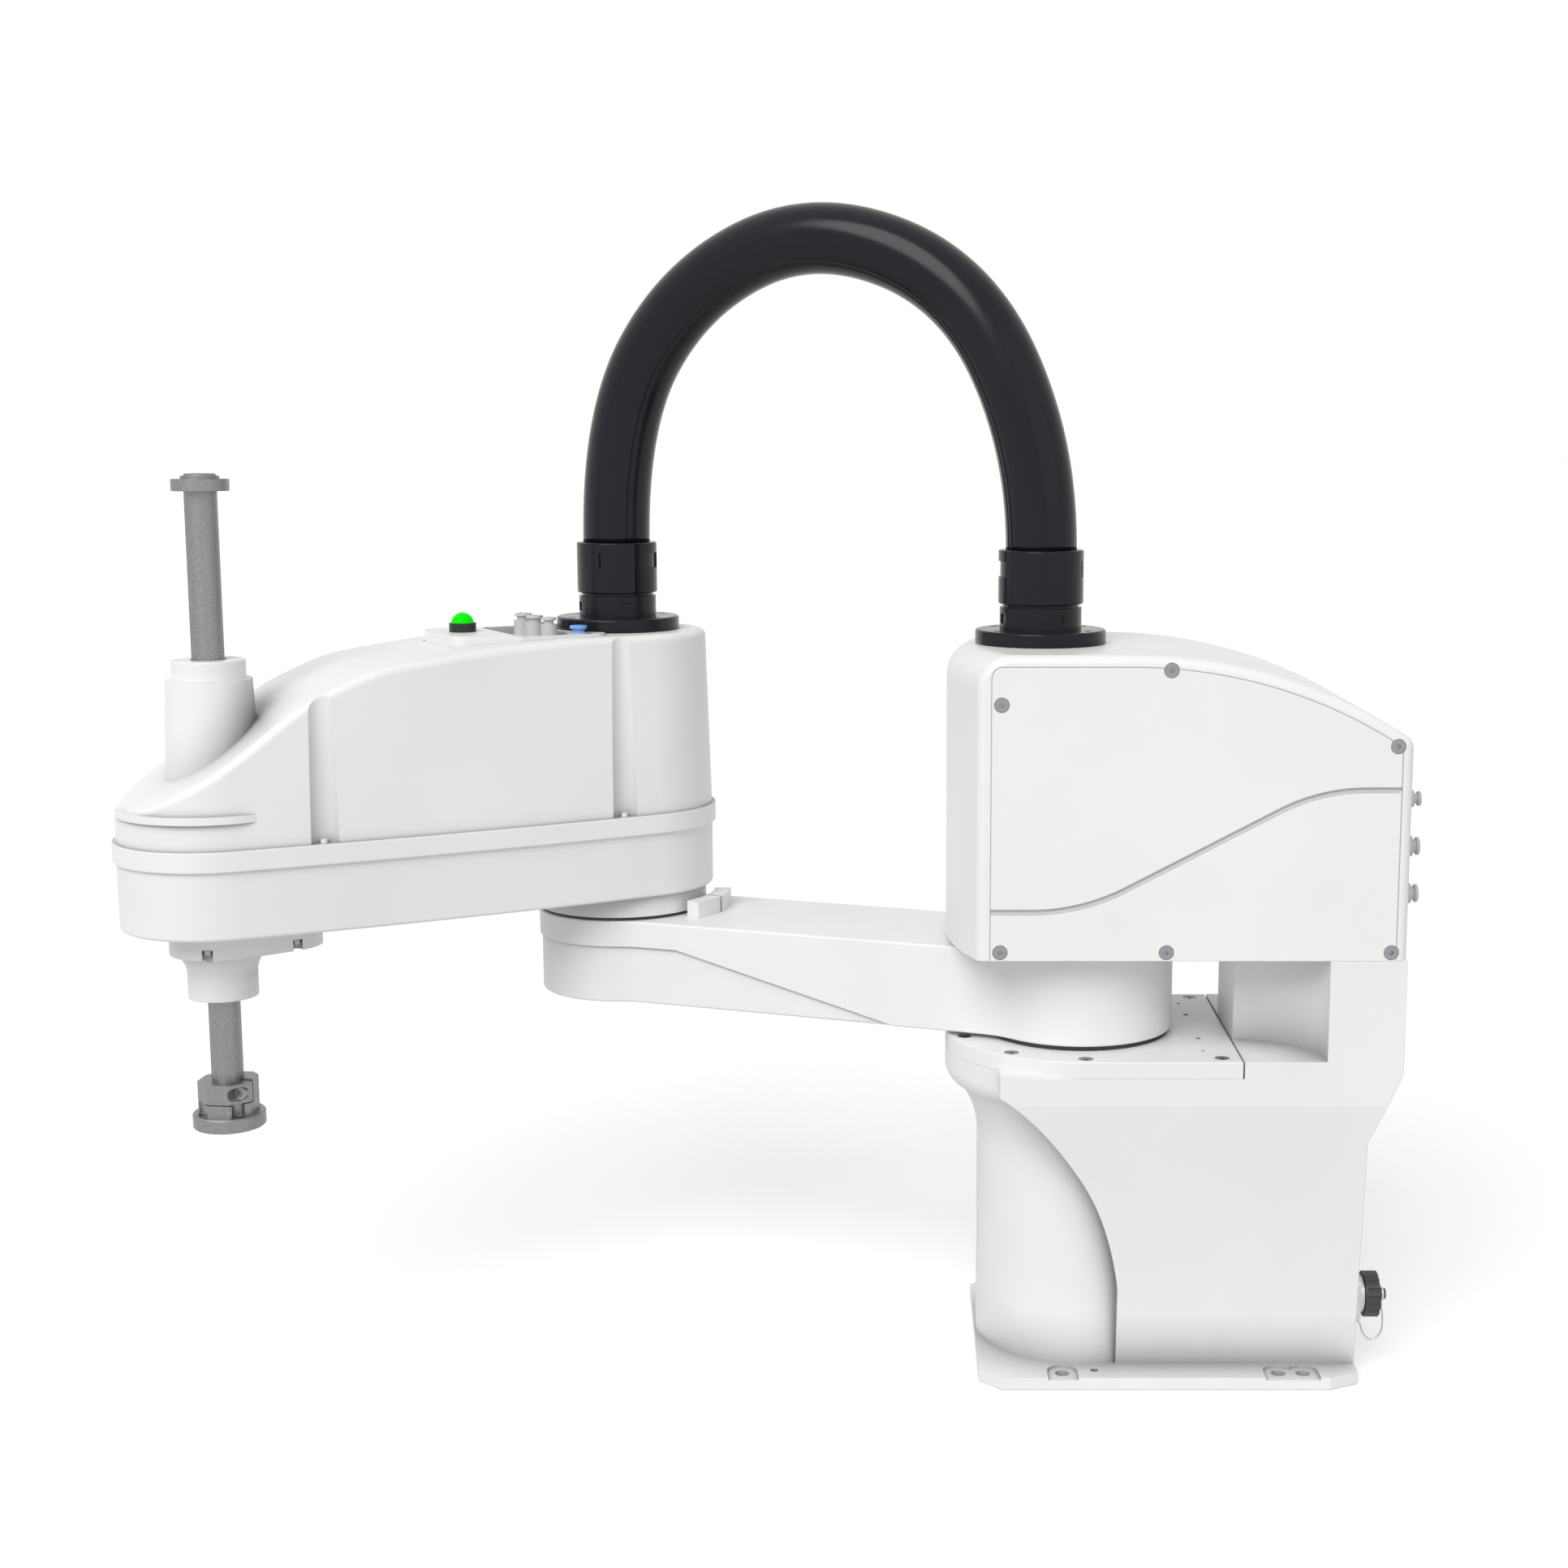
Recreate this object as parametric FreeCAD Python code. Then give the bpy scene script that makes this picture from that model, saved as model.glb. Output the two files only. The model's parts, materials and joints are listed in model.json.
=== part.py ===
import FreeCAD, Part
import math
import os

V = FreeCAD.Vector
UP = V(0, 0, 1)

# A four-axis pick and place robot, in millimetres. The origin is where the first axis meets the
# mounting plane. +Z is up, the arms reach towards -X, and the rear of the base faces +X.

# Arm lengths, and how far each arm is swung from straight ahead, in degrees
arm1_length = 325.0
arm2_length = 275.0
arm1_swing = -19.3
arm2_swing = 29.1

# Running gap between pieces that move past each other, and a close shaft clearance
running_gap = 0.3
shaft_clearance = 0.05

# Mounting plate
plate_thickness = 8.0
plate_front = -65.0
plate_rear = 175.0
half_width = 85.0
front_corner = 14.0
rear_corner = (19.0, 9.0)
bolt_hole_radius = 4.5
bolt_edge = 10.8
bolt_line = half_width - bolt_edge
bolt_front_x = -12.0
bolt_rear_x = 140.6
bolt_extra_x = 125.0
bolt_pocket_radius = 9.5
bolt_pocket_depth = 1.6
dowel_x = 8.5
dowel_edge = 12.0
dowel_y = half_width - dowel_edge
dowel_radius = 2.5

# Column, the flare under the deck, and the leaning side walls
column_radius = 64.0
column_straight_top = 140.0
flare_crease = (76.0, 178.0)
block_round_top = 190.0
side_foot_half_width = 62.6
carve_points = ((22.8, 60.0), (15.0, 96.5), (4.2, 123.6), (-11.0, 147.5), (-27.6, 167.8), (-53.5, 190.0))
rear_step_low = 160.0
rear_step_high = 205.0
head_rear = 195.0
block_bottom = 184.5
deck_top = 213.0
deck_thickness = 10.7
deck_seam_x = 96.3
deck_seam_width = 1.0
deck_edge_round = 0.8
motor_bay_radius = 50.0
reducer_bay_radius = 54.0
reducer_seat_z = 158.0
base_floor = 14.0

# Deck screws
deck_screw_edge = 8.0
deck_screw_circle = half_width - deck_screw_edge
deck_screw_step = 36.0
deck_screw_rear_x = 84.6
deck_screw_rear_y = half_width - 10.0
screw_head_radius = 4.6
screw_head_depth = 3.0
screw_shank_radius = 2.4
hex_radius = 1.6

# Neck and head
neck_front = 97.5
neck_flat_half_width = 32.0
neck_side_x = 148.0
neck_scoop_reach = 0.72
cable_way_half_widths = (50.0, 32.0)
cable_way_front = 128.0
cable_way_rear = 166.0
head_bottom = 276.7
head_top = 464.0
head_front = -half_width
head_bulge = 17.5
head_side_front = head_front + head_bulge
head_arc_start = 25.0
head_arc_radius = 305.0
head_rear_corner = 9.0
head_front_round = 20.0
head_edge_round = 6.0
head_wall = 6.0
head_frame_depth = 15.0
head_window = (-42.0, 172.0, 290.0, 398.0)
panel_thickness = 4.0
panel_edge_bevel = 0.7
panel_inset = 7.0
groove_radius = 1.7
panel_screws = ((-54.2, 282.0), (47.4, 282.0), (184.7, 282.0), (-54.2, 434.0), (47.4, 455.0), (184.7, 409.0))
groove_points = ((-72.5, 307.0), (-4.7, 307.0), (138.9, 382.4), (200.0, 382.4))

# Push-in air fittings on the head's rear wall and on the user panel
rear_fitting_y = -45.0
rear_fitting_z = (371.0, 341.0, 311.0)
rear_fitting_radii = (5.4, 6.4, 6.4)
rear_fitting_stand = 9.0
fitting_travel = 1.5
fitting_head = 2.2
tube_radii = (2.0, 3.0, 3.0)

# Round connector at the foot of the rear wall, its screw cap and the tether wire
connector_y = 37.0 - half_width
connector_z = 49.0
connector_flange_half = 13.0
connector_flange_thickness = 4.0
connector_body_radius = 11.5
connector_body_length = 5.0
cap_radius = 14.5
cap_length = 9.0
cap_ribs = 18
tether_diameter = 1.0

# First arm
arm1_bottom = 216.0
arm1_top = 272.0
arm1_root_radius = 62.0
arm1_tip_radius = 57.7
arm1_half_width = 50.6
arm1_blend_radius = 60.0
arm1_edge_round = 1.4
arm1_skirt_depth = 1.6
arm1_skirt_z = 254.5
arm1_skirt_turn = 262.0
arm1_skirt_foot = 103.0
arm1_web = 10.0
arm1_wall = 9.0
stop_radii = (64.0, 75.0)
stop_height = 11.0
stop_angles = ((-41.0, -21.5), (-20.0, 2.0))
seal_height = 2.0

# Reducers, their output hubs and the motors of the first two joints
reducer1_bore = 30.0
hub1_flange_radius = 44.0
rotor_radius = 8.0
rotor_disc_radius = 20.0
reducer2_radius = 46.0
reducer2_bottom = 232.0
reducer2_bore = 26.0
motor1_half = 30.0
motor1_bottom = 34.0
motor2_radius = 30.0
motor2_height = 92.0

# Second arm: casting, cover and the drives inside
arm2_bottom = 288.4
arm2_split = 331.5
band_top = 344.5
arm2_root_radius = 62.6
arm2_tip_radius = 60.6
arm2_side_radius = 2200.0
band_stand = 2.4
band_edge_round = 0.8
arm2_edge_round = 2.0
tray_floor = 10.0
tray_wall = 5.0
cover_wall = 3.5
cover_draft = 3.4
cover_edge_round = 5.0
cover_flat_end = 45.0
cover_profile = ((106.0, 460.5), (165.0, 453.8), (186.0, 450.0), (206.0, 442.8), (231.0, 431.0),
                 (270.0, 403.0), (300.0, 383.5), (345.0, 358.5))
cover_top = 464.0
neck_ring_radius = 57.7
scallop_s = (23.0, 223.0)
scallop_radius = 10.0
scallop_depth = 5.2
cover_screw_in = 2.6
cover_screw_radius = 1.5
cover_screw_head = 2.15
cover_screw_grip = 9.0
cover_boss_radius = 5.0
ledge_bottom = 361.0
ledge_top = 366.0
ledge_shift = 2.6
tower_top = 444.0
tower_top_radius = 26.35
tower_foot_radius = 30.0
tower_wall = 3.2
tower_foot_z = 362.0
collar_radius = 22.7
collar_top = 456.0

# User panel on the cover, with the lamp and the fittings
panel_plan = ((25.0, -46.0), (86.0, -46.0), (127.0, -33.0), (127.0, 33.0), (86.0, 46.0), (25.0, 46.0))
panel_corner = 9.0
panel_bottom = 455.5
panel_floor = 459.5
panel_rim_top = 465.0
panel_boss_top = 466.4
panel_step = (86.0, 94.0)
panel_tray = (30.0, 84.0, -41.0, 41.0)
panel_tray_corner = 6.0
panel_gap = 0.2
panel_lip = 4.0
panel_keep_off = 1.0
lamp_place = (110.0, 0.0)
lamp_stem_radius = 4.0
lamp_ring_radius = 8.8
lamp_ring_height = 5.9
lamp_dome_radius = 7.6
lamp_dome_sink = 0.8
panel_fittings = ((60.0, -22.0, 6.4, 3.0), (60.0, 0.0, 6.4, 3.0), (57.0, 19.0, 5.4, 2.0), (42.2, 34.0, 6.4, 3.0))
panel_fitting_tops = (470.7, 470.7, 470.7, 465.6)
panel_tray_screws = ((79.0, 23.0), (56.0, 10.0))

# Drives in the second arm
frame_half_width = 30.0
frame_wall = 4.0
frame_rear = 96.0
frame_front = 306.0
lower_plate_z = 318.0
upper_plate_z = 362.0
frame_plate = 4.0
motor4_s = 120.0
motor3_s = 185.0
servo_half = 20.0
servo4_height = 78.0
servo3_height = 62.0
motor_pulley_radius = 13.0
nut_pulley_radius = 22.0
pulley_height = 14.0
belt_width = 10.0
belt_thickness = 1.6
spline_nut_radius = 16.0
spline_nut_bottom = 243.0
ball_nut_radius = 17.0
ball_nut_top = 385.0

# Housing under the second arm
housing_plate_thickness = 18.4
housing_plate_radius = 32.0
housing_lobe_radius = 25.0
housing_lobe_reach = 39.0
housing_cone_radius = 28.0
housing_cone_height = 12.0
housing_radius = 21.85
housing_bottom = 241.0
housing_screw_in = 2.2
housing_screw_angles = (62.0, 97.0)
housing_screw_radius = 1.5
housing_recess_radius = 3.8
housing_recess_depth = 7.0

# Spline shaft with what is on it
shaft_radius = 10.0
shaft_bottom = 152.0
shaft_top = 571.0
shaft_bore = 5.5
shaft_groove = 1.5
stop_ring_radius = 17.5
stop_ring_z = (560.3, 567.6)
flange_radius = 22.8
flange_z = (155.0, 164.3)
flange_hub_half = 17.5
flange_hub_top = 172.0
flange_hole_radius = 2.25
flange_hole_circle = 18.0
flange_hole_turn = 6.0
flange_pocket_radius = 4.3
clamp_z = (172.7, 185.4)
clamp_turn = 77.9
clamp_slit = 1.2
clamp_slit_turn = 57.7
jaw_end_turn = 118.0
jaw_rise = 1.4
clamp_screw_line = 13.6
clamp_screw_seat = 5.5
clamp_screw_reach = 7.0
clamp_screw_radius = 2.4
clamp_head_radius = 4.3
clamp_head_height = 3.6

# Cable duct
duct_head_x = -25.7
duct_flange_radius = 41.5
duct_flange_height = 9.0
duct_neck_radius = 26.0
duct_neck_height = 14.0
duct_gap = 2.0
duct_collar_radius = 27.0
duct_collar_height = 34.0
duct_radius = 22.5
duct_turns = (30.0, -55.5)
window_band = (17.0, 27.0)
window_angle = 54.0
mark_angle = 4.0
duct_route = ((0.0, 523.0), (0.0, 604.0), (54.0, 690.0), (146.0, 729.0), (250.0, 690.0), (300.8, 585.0),
              (300.8, 523.0))


# Shapes that many pieces are made from
def cylinder(radius, low, high, x=0.0, y=0.0):
    return Part.makeCylinder(radius, high - low, V(x, y, low))


def tube(outer, inner, low, high, x=0.0, y=0.0):
    return cylinder(outer, low, high, x, y).cut(cylinder(inner, low - 1, high + 1, x, y))


def block(x0, x1, y0, y1, z0, z1):
    return Part.makeBox(x1 - x0, y1 - y0, z1 - z0, V(x0, y0, z0))


def face_of(points, plane):
    """A flat face through points given as pairs, on the XY plane or the XZ plane."""
    corners = [V(a, b, 0) if plane == "xy" else V(a, 0, b) for a, b in points]
    return Part.Face(Part.makePolygon(corners + corners[:1]))


def revolve(points, x=0.0, y=0.0):
    """A turned solid from (radius, height) pairs."""
    solid = face_of(points, "xz").revolve(V(0, 0, 0), UP, 360)
    solid.translate(V(x, y, 0))
    return solid


def arc(a, b, c):
    return Part.Arc(a, b, c).toShape()


def stadium(a, b, ra, rb, low, high):
    """A plate round two circles at places a and b, with straight tangent sides."""
    ax, ay = a
    bx, by = b
    length = math.hypot(bx - ax, by - ay)
    along = math.atan2(by - ay, bx - ax)
    lean = math.acos((ra - rb) / length)
    left_a, left_b = [V(x + r * math.cos(along + lean), y + r * math.sin(along + lean), low)
                      for x, y, r in ((ax, ay, ra), (bx, by, rb))]
    right_a, right_b = [V(x + r * math.cos(along - lean), y + r * math.sin(along - lean), low)
                        for x, y, r in ((ax, ay, ra), (bx, by, rb))]
    back = V(ax - ra * math.cos(along), ay - ra * math.sin(along), low)
    front = V(bx + rb * math.cos(along), by + rb * math.sin(along), low)
    edges = [arc(left_a, back, right_a), Part.makeLine(right_a, right_b), arc(right_b, front, left_b),
             Part.makeLine(left_b, left_a)]
    return Part.Face(Part.Wire(edges)).extrude(UP * (high - low))


def rounded_box(x0, x1, y0, y1, low, high, radius):
    solid = block(x0, x1, y0, y1, low, high)
    upright = [e for e in solid.Edges if abs(e.Length - (high - low)) < 1e-6
               and abs(e.Vertexes[0].Point.z - e.Vertexes[1].Point.z) > 1e-6]
    return solid.makeFillet(radius, upright)


def rounded_ends(prism, radius, top=True):
    """Rounds the edges round a prism's bottom, and round its top if asked."""
    low, high = prism.BoundBox.ZMin, prism.BoundBox.ZMax
    return prism.makeFillet(radius, [e for e in prism.Edges if e.BoundBox.ZLength < 0.01
                                     and (e.BoundBox.ZMin < low + 0.1 or (top and e.BoundBox.ZMin > high - 0.1))])


def sector(start, end, turn):
    """A wedge of space between two angles, less than 180 degrees apart."""
    reach = 100
    corners = [(0, 0)] + [(reach * math.cos(math.radians(a + turn)), reach * math.sin(math.radians(a + turn)))
                          for a in (start, (start + end) / 2, end)]
    return face_of(corners, "xy").extrude(UP * 900)


def on_arm(shape, joint, heading):
    """Turns a piece made along +X from its joint to where the arm lies."""
    placed = shape.copy()
    placed.rotate(V(0, 0, 0), UP, heading)
    placed.translate(V(joint[0], joint[1], 0))
    return placed


def along_x(shape, x, y, z):
    """Turns a piece made up +Z to point along +X, standing at a place on a rear wall."""
    placed = shape.copy()
    placed.rotate(V(0, 0, 0), V(0, 1, 0), 90)
    placed.translate(V(x, y, z))
    return placed


def screw(x, y, top, length):
    """A socket-head screw, pointing down, with its head flush with its seat's top."""
    head = cylinder(screw_head_radius - 0.2, top - screw_head_depth, top - 0.4, x, y)
    shank = cylinder(screw_shank_radius - 0.1, top - length, top - screw_head_depth, x, y)
    socket = Part.Face(Part.makePolygon([V(x + hex_radius * math.cos(math.radians(a)),
                                           y + hex_radius * math.sin(math.radians(a)), top)
                                         for a in range(0, 361, 60)]))
    return head.fuse(shank).removeSplitter().cut(socket.extrude(UP * -(screw_head_depth - 1)))


def screw_seat(x, y, top, length):
    """What a screw needs cut away: its recess and its hole."""
    return cylinder(screw_head_radius, top - screw_head_depth, top + 1, x, y).fuse(
        cylinder(screw_shank_radius, top - length - 1, top - screw_head_depth + 1, x, y))


# Where the joints are
heading1 = 180.0 + arm1_swing
heading2 = 180.0 + arm2_swing
joint2 = (arm1_length * math.cos(math.radians(heading1)), arm1_length * math.sin(math.radians(heading1)))
joint3 = (joint2[0] + arm2_length * math.cos(math.radians(heading2)),
          joint2[1] + arm2_length * math.sin(math.radians(heading2)))


# Base casting: plate, column, leaning sides, deck block and neck
def mounting_plate():
    outline = [(plate_front + front_corner, -half_width), (plate_rear - rear_corner[0], -half_width),
               (plate_rear, -half_width + rear_corner[1]), (plate_rear, half_width - rear_corner[1]),
               (plate_rear - rear_corner[0], half_width), (plate_front + front_corner, half_width),
               (plate_front, half_width - front_corner), (plate_front, -half_width + front_corner)]
    plate = face_of(outline, "xy").extrude(UP * plate_thickness)
    floor = plate_thickness - bolt_pocket_depth
    for side in (-1, 1):
        edge = side * half_width
        y0, y1 = sorted((side * bolt_line, edge + side))
        for x0, x1 in ((bolt_front_x, bolt_front_x), (bolt_extra_x, bolt_rear_x)):
            pocket = block(x0 - bolt_pocket_radius, x1 + bolt_pocket_radius, y0, y1, floor, plate_thickness)
            for x in {x0, x1}:
                pocket = pocket.fuse(cylinder(bolt_pocket_radius, floor, plate_thickness, x, side * bolt_line))
                plate = plate.cut(cylinder(bolt_hole_radius, -1, plate_thickness, x, side * bolt_line))
            plate = plate.cut(pocket)
        plate = plate.cut(cylinder(dowel_radius, -1, plate_thickness + 1, dowel_x, side * dowel_y))
    return plate


def column():
    crease_r, crease_z = flare_crease
    outer = [Part.makeLine(V(0, 0, 0), V(column_radius, 0, 0)),
             Part.makeLine(V(column_radius, 0, 0), V(column_radius, 0, column_straight_top)),
             arc(V(column_radius, 0, column_straight_top),
                 V(column_radius + (crease_r - column_radius) * 0.27, 0,
                   column_straight_top + (crease_z - column_straight_top) * 0.58),
                 V(crease_r, 0, crease_z)),
             arc(V(crease_r, 0, crease_z),
                 V(crease_r + (half_width - crease_r) * 0.72, 0, crease_z + (block_round_top - crease_z) * 0.4),
                 V(half_width, 0, block_round_top)),
             Part.makeLine(V(half_width, 0, block_round_top), V(half_width, 0, deck_top)),
             Part.makeLine(V(half_width, 0, deck_top), V(0, 0, deck_top)),
             Part.makeLine(V(0, 0, deck_top), V(0, 0, 0))]
    return Part.Face(Part.Wire(outer)).revolve(V(0, 0, 0), UP, 360)


def side_block():
    """The block behind the column. Its front is carved away in a curve and its sides lean in."""
    carve = [V(x, 0, z) for x, z in carve_points]
    straight, top = carve[0], carve[-1]
    foot = V(straight.x, 0, plate_thickness)
    corners = [V(top.x, 0, deck_top), V(head_rear, 0, deck_top), V(head_rear, 0, rear_step_high),
               V(plate_rear, 0, rear_step_low), V(plate_rear, 0, plate_thickness), foot]
    curve = Part.BSplineCurve()
    curve.interpolate(Points=carve)
    edges = [Part.makeLine(foot, straight), curve.toShape(), Part.makeLine(top, corners[0])]
    edges += [Part.makeLine(a, b) for a, b in zip(corners, corners[1:])]
    body = Part.Face(Part.Wire(edges)).extrude(V(0, 2 * half_width, 0))
    body.translate(V(0, -half_width, 0))
    for side in (-1, 1):
        wedge = Part.Face(Part.makePolygon([
            V(-200, side * side_foot_half_width, plate_thickness), V(-200, side * half_width, block_bottom),
            V(-200, side * (half_width + 20), block_bottom), V(-200, side * (half_width + 20), plate_thickness),
            V(-200, side * side_foot_half_width, plate_thickness)])).extrude(V(600, 0, 0))
        body = body.cut(wedge)
    return body


def neck():
    """The rear pillar that carries the head. Its front corners are scooped out."""
    rear, low, high = head_rear, deck_top - 1, head_bottom
    a = V(neck_front, -neck_flat_half_width, low)
    b = V(neck_side_x, -half_width, low)
    bend = a + V((b.x - a.x) * neck_scoop_reach, (b.y - a.y) * (1 - neck_scoop_reach), 0)
    edges = [arc(a, bend, b), Part.makeLine(b, V(rear, -half_width, low)),
             Part.makeLine(V(rear, -half_width, low), V(rear, half_width, low)),
             Part.makeLine(V(rear, half_width, low), V(b.x, half_width, low)),
             arc(V(b.x, half_width, low), V(bend.x, -bend.y, low), V(a.x, -a.y, low)),
             Part.makeLine(V(a.x, -a.y, low), a)]
    return Part.Face(Part.Wire(edges)).extrude(UP * (high - low))


def deck_outline(low, high, trim=0.0):
    """The deck's plan: a half disc about the first axis, and straight sides back to the seam."""
    front = cylinder(half_width - trim, low, high)
    return front.fuse(block(0, deck_seam_x, -half_width + trim, half_width - trim, low, high)).removeSplitter()


def deck_screw_places():
    spots = [(deck_screw_circle * math.cos(math.radians(a)), deck_screw_circle * math.sin(math.radians(a)))
             for a in [90 + deck_screw_step * i for i in range(6)]]
    return spots + [(deck_screw_rear_x, side * deck_screw_rear_y) for side in (-1, 1)]


def base_casting():
    body = mounting_plate().fuse([column(), side_block(), neck()]).removeSplitter()
    deck_bottom = deck_top - deck_thickness
    slab = block(-half_width - 1, deck_seam_x + deck_seam_width, -half_width - 1, half_width + 1,
                 deck_bottom, deck_top + 1)
    body = body.cut(slab)
    body = body.cut(cylinder(motor_bay_radius, base_floor, deck_top))
    body = body.cut(cylinder(reducer_bay_radius, reducer_seat_z, deck_top))
    wide, narrow = cable_way_half_widths
    body = body.cut(block(motor_bay_radius - 12, cable_way_rear, -wide, wide, base_floor, reducer_seat_z - 12))
    body = body.cut(block(cable_way_front, cable_way_rear, -narrow, narrow, reducer_seat_z - 13, head_bottom + 1))
    body = body.cut(along_x(cylinder(connector_body_radius - 2, -20, 20), plate_rear, connector_y, connector_z))
    for x, y in deck_screw_places():
        body = body.cut(cylinder(screw_shank_radius, deck_bottom - 9, deck_bottom + 1, x, y))
    return body


def base_top_deck():
    deck = deck_outline(deck_top - deck_thickness, deck_top)
    deck = deck.makeFillet(deck_edge_round, [e for e in deck.Edges if e.BoundBox.ZMin > deck_top - 0.1])
    deck = deck.cut(cylinder(hub1_flange_radius + 2, 0, deck_top + 1))
    for x, y in deck_screw_places():
        deck = deck.cut(screw_seat(x, y, deck_top, deck_thickness + 4))
    for x, y, radius in ((76.0, 29.5, 1.8), (75.0, 59.0, 1.2)):
        for side in (-1, 1):
            deck = deck.cut(cylinder(radius, deck_top - 6, deck_top + 1, x, side * y))
    return deck


def deck_screws():
    return [screw(x, y, deck_top, deck_thickness + 4) for x, y in deck_screw_places()]


# Head: a moulded housing with a removable panel on each side
def head_outline(inset=0.0):
    """The head's side view as a face, taken in by an inset at the front, the top and the rear."""
    arc_z = head_top - head_arc_radius
    radius = head_arc_radius - inset
    front, rear = head_front + inset, head_rear - inset
    end_z = arc_z + math.sqrt(radius ** 2 - (rear - head_arc_start) ** 2)
    half = (rear - head_arc_start) / 2
    middle = V(head_arc_start + half, 0, arc_z + math.sqrt(radius ** 2 - half ** 2))
    points = [V(front, 0, head_bottom), V(front, 0, head_top - inset), V(head_arc_start, 0, head_top - inset),
              V(rear, 0, end_z), V(rear, 0, head_bottom)]
    edges = [Part.makeLine(points[0], points[1]), Part.makeLine(points[1], points[2]),
             arc(points[2], middle, points[3]), Part.makeLine(points[3], points[4]),
             Part.makeLine(points[4], points[0])]
    return Part.Face(Part.Wire(edges))


def head_form():
    body = head_outline().extrude(V(0, 2 * half_width, 0))
    body.translate(V(0, -half_width, 0))
    low = head_bottom - 1
    a, b = V(head_side_front, -half_width, low), V(head_side_front, half_width, low)
    plan = [arc(b, V(head_front, 0, low), a), Part.makeLine(a, V(head_rear, -half_width, low)),
            Part.makeLine(V(head_rear, -half_width, low), V(head_rear, half_width, low)),
            Part.makeLine(V(head_rear, half_width, low), b)]
    body = body.common(Part.Face(Part.Wire(plan)).extrude(UP * 300))
    rear_edge = [e for e in body.Edges if all(v.Point.x > head_rear - 0.1 and v.Point.z > head_bottom + 50
                                              for v in e.Vertexes)]
    body = body.makeFillet(head_rear_corner, rear_edge)
    top_front = [e for e in body.Edges if all(v.Point.x < head_side_front + 0.1 and v.Point.z > head_top - 0.1
                                              for v in e.Vertexes)]
    body = body.makeFillet(head_front_round, top_front)
    return body


def side_edges(body):
    """The long edges of the head where its sides meet its top, front and rear."""
    return [e for e in body.Edges
            if all(abs(abs(v.Point.y) - half_width) < 0.1 for v in e.Vertexes)
            and abs(e.Vertexes[0].Point.y - e.Vertexes[-1].Point.y) < 0.1
            and not all(abs(v.Point.z - head_bottom) < 0.1 for v in e.Vertexes)]


def panel_plate(outside):
    """The near side's panel as a plain plate, from inside the head out to a distance past its face."""
    plate = head_outline(panel_inset).extrude(V(0, panel_thickness + outside, 0))
    plate.translate(V(0, -half_width - outside, 0))
    front_cut = block(head_front - 50, head_side_front + panel_inset, -half_width - 2, half_width, 0, 600)
    plate = plate.cut(front_cut)
    corner = [e for e in plate.Edges if abs(e.Vertexes[0].Point.y - e.Vertexes[-1].Point.y) > 1
              and e.Vertexes[0].Point.z > head_bottom + 50]
    return plate.makeFillet(panel_inset, corner)


def head_panel(side):
    """One side panel, with the long S-shaped groove and its screw recesses."""
    panel = panel_plate(0)
    rim = [e for e in panel.Edges if e.BoundBox.YMax < -half_width + 0.01 and e.BoundBox.ZMax > head_bottom + 0.1]
    panel = panel.makeChamfer(panel_edge_bevel, rim)
    panel = panel.cut(bent_tube([V(x, -half_width, z) for x, z in groove_points], groove_radius))
    for x, z in panel_screws:
        panel = panel.cut(panel_screw_seat(x, z))
    return panel if side < 0 else panel.mirror(V(0, 0, 0), V(0, 1, 0))


def panel_screw_seat(x, z):
    seat = screw_seat(0, 0, 0, panel_thickness + 8)
    seat.rotate(V(0, 0, 0), V(1, 0, 0), 90)
    seat.translate(V(x, -half_width, z))
    return seat


def head_panel_screws():
    solids = []
    for x, z in panel_screws:
        piece = screw(0, 0, 0, panel_thickness + 8)
        piece.rotate(V(0, 0, 0), V(1, 0, 0), 90)
        piece.translate(V(x, -half_width, z))
        solids += [piece, piece.mirror(V(0, 0, 0), V(0, 1, 0))]
    return solids


def head_housing():
    panel = panel_plate(1)
    housing = rounded_head.cut(panel).cut(panel.mirror(V(0, 0, 0), V(0, 1, 0)))
    depth = half_width - head_frame_depth
    hollow = head_outline(head_wall).extrude(V(0, 2 * depth, 0))
    hollow.translate(V(0, -depth, 0))
    front_radius = (half_width ** 2 + head_bulge ** 2) / (2 * head_bulge)
    hollow = hollow.common(cylinder(front_radius - head_wall, head_bottom + head_wall, 600, head_front + front_radius, 0))
    x0, x1, z0, z1 = head_window
    housing = housing.cut(hollow).cut(block(x0, x1, -half_width + 1, half_width - 1, z0, z1))
    narrow = cable_way_half_widths[1]
    housing = housing.cut(block(cable_way_front, cable_way_rear, -narrow, narrow, head_bottom - 1,
                                head_bottom + head_wall + 1))
    housing = housing.cut(cylinder(duct_radius - 3, head_top - 40, head_top + 1, duct_head_x, 0))
    for x, z in panel_screws:
        seat = panel_screw_seat(x, z)
        housing = housing.cut(seat).cut(seat.mirror(V(0, 0, 0), V(0, 1, 0)))
    for z, radius in zip(rear_fitting_z, rear_fitting_radii):
        housing = housing.cut(along_x(cylinder(radius - 1, -30, 5), head_rear, rear_fitting_y, z))
    return housing


# Push-in fittings: a body with a stepped bore, and a release ring that slides in it
def fitting_body(radius, tube_radius, height):
    stem = tube_radius + 1.2
    body = cylinder(radius, 0, height).fuse(cylinder(radius - 1.05, -6, 0)).removeSplitter()
    return body.cut(cylinder(stem, -4, height + 1)).cut(cylinder(tube_radius, -7, 0))


def fitting_ring(radius, tube_radius, height):
    stem = tube_radius + 1.2 - shaft_clearance
    rise = fitting_travel + 0.9
    head = rounded_ends(cylinder(radius - 0.7, height + rise, height + rise + fitting_head), fitting_head * 0.3)
    ring = cylinder(stem, -4 + fitting_travel + 0.2, height + rise + 0.2).fuse(head)
    return ring.removeSplitter().cut(cylinder(tube_radius + 0.1, -5, height + rise + 3))


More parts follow.
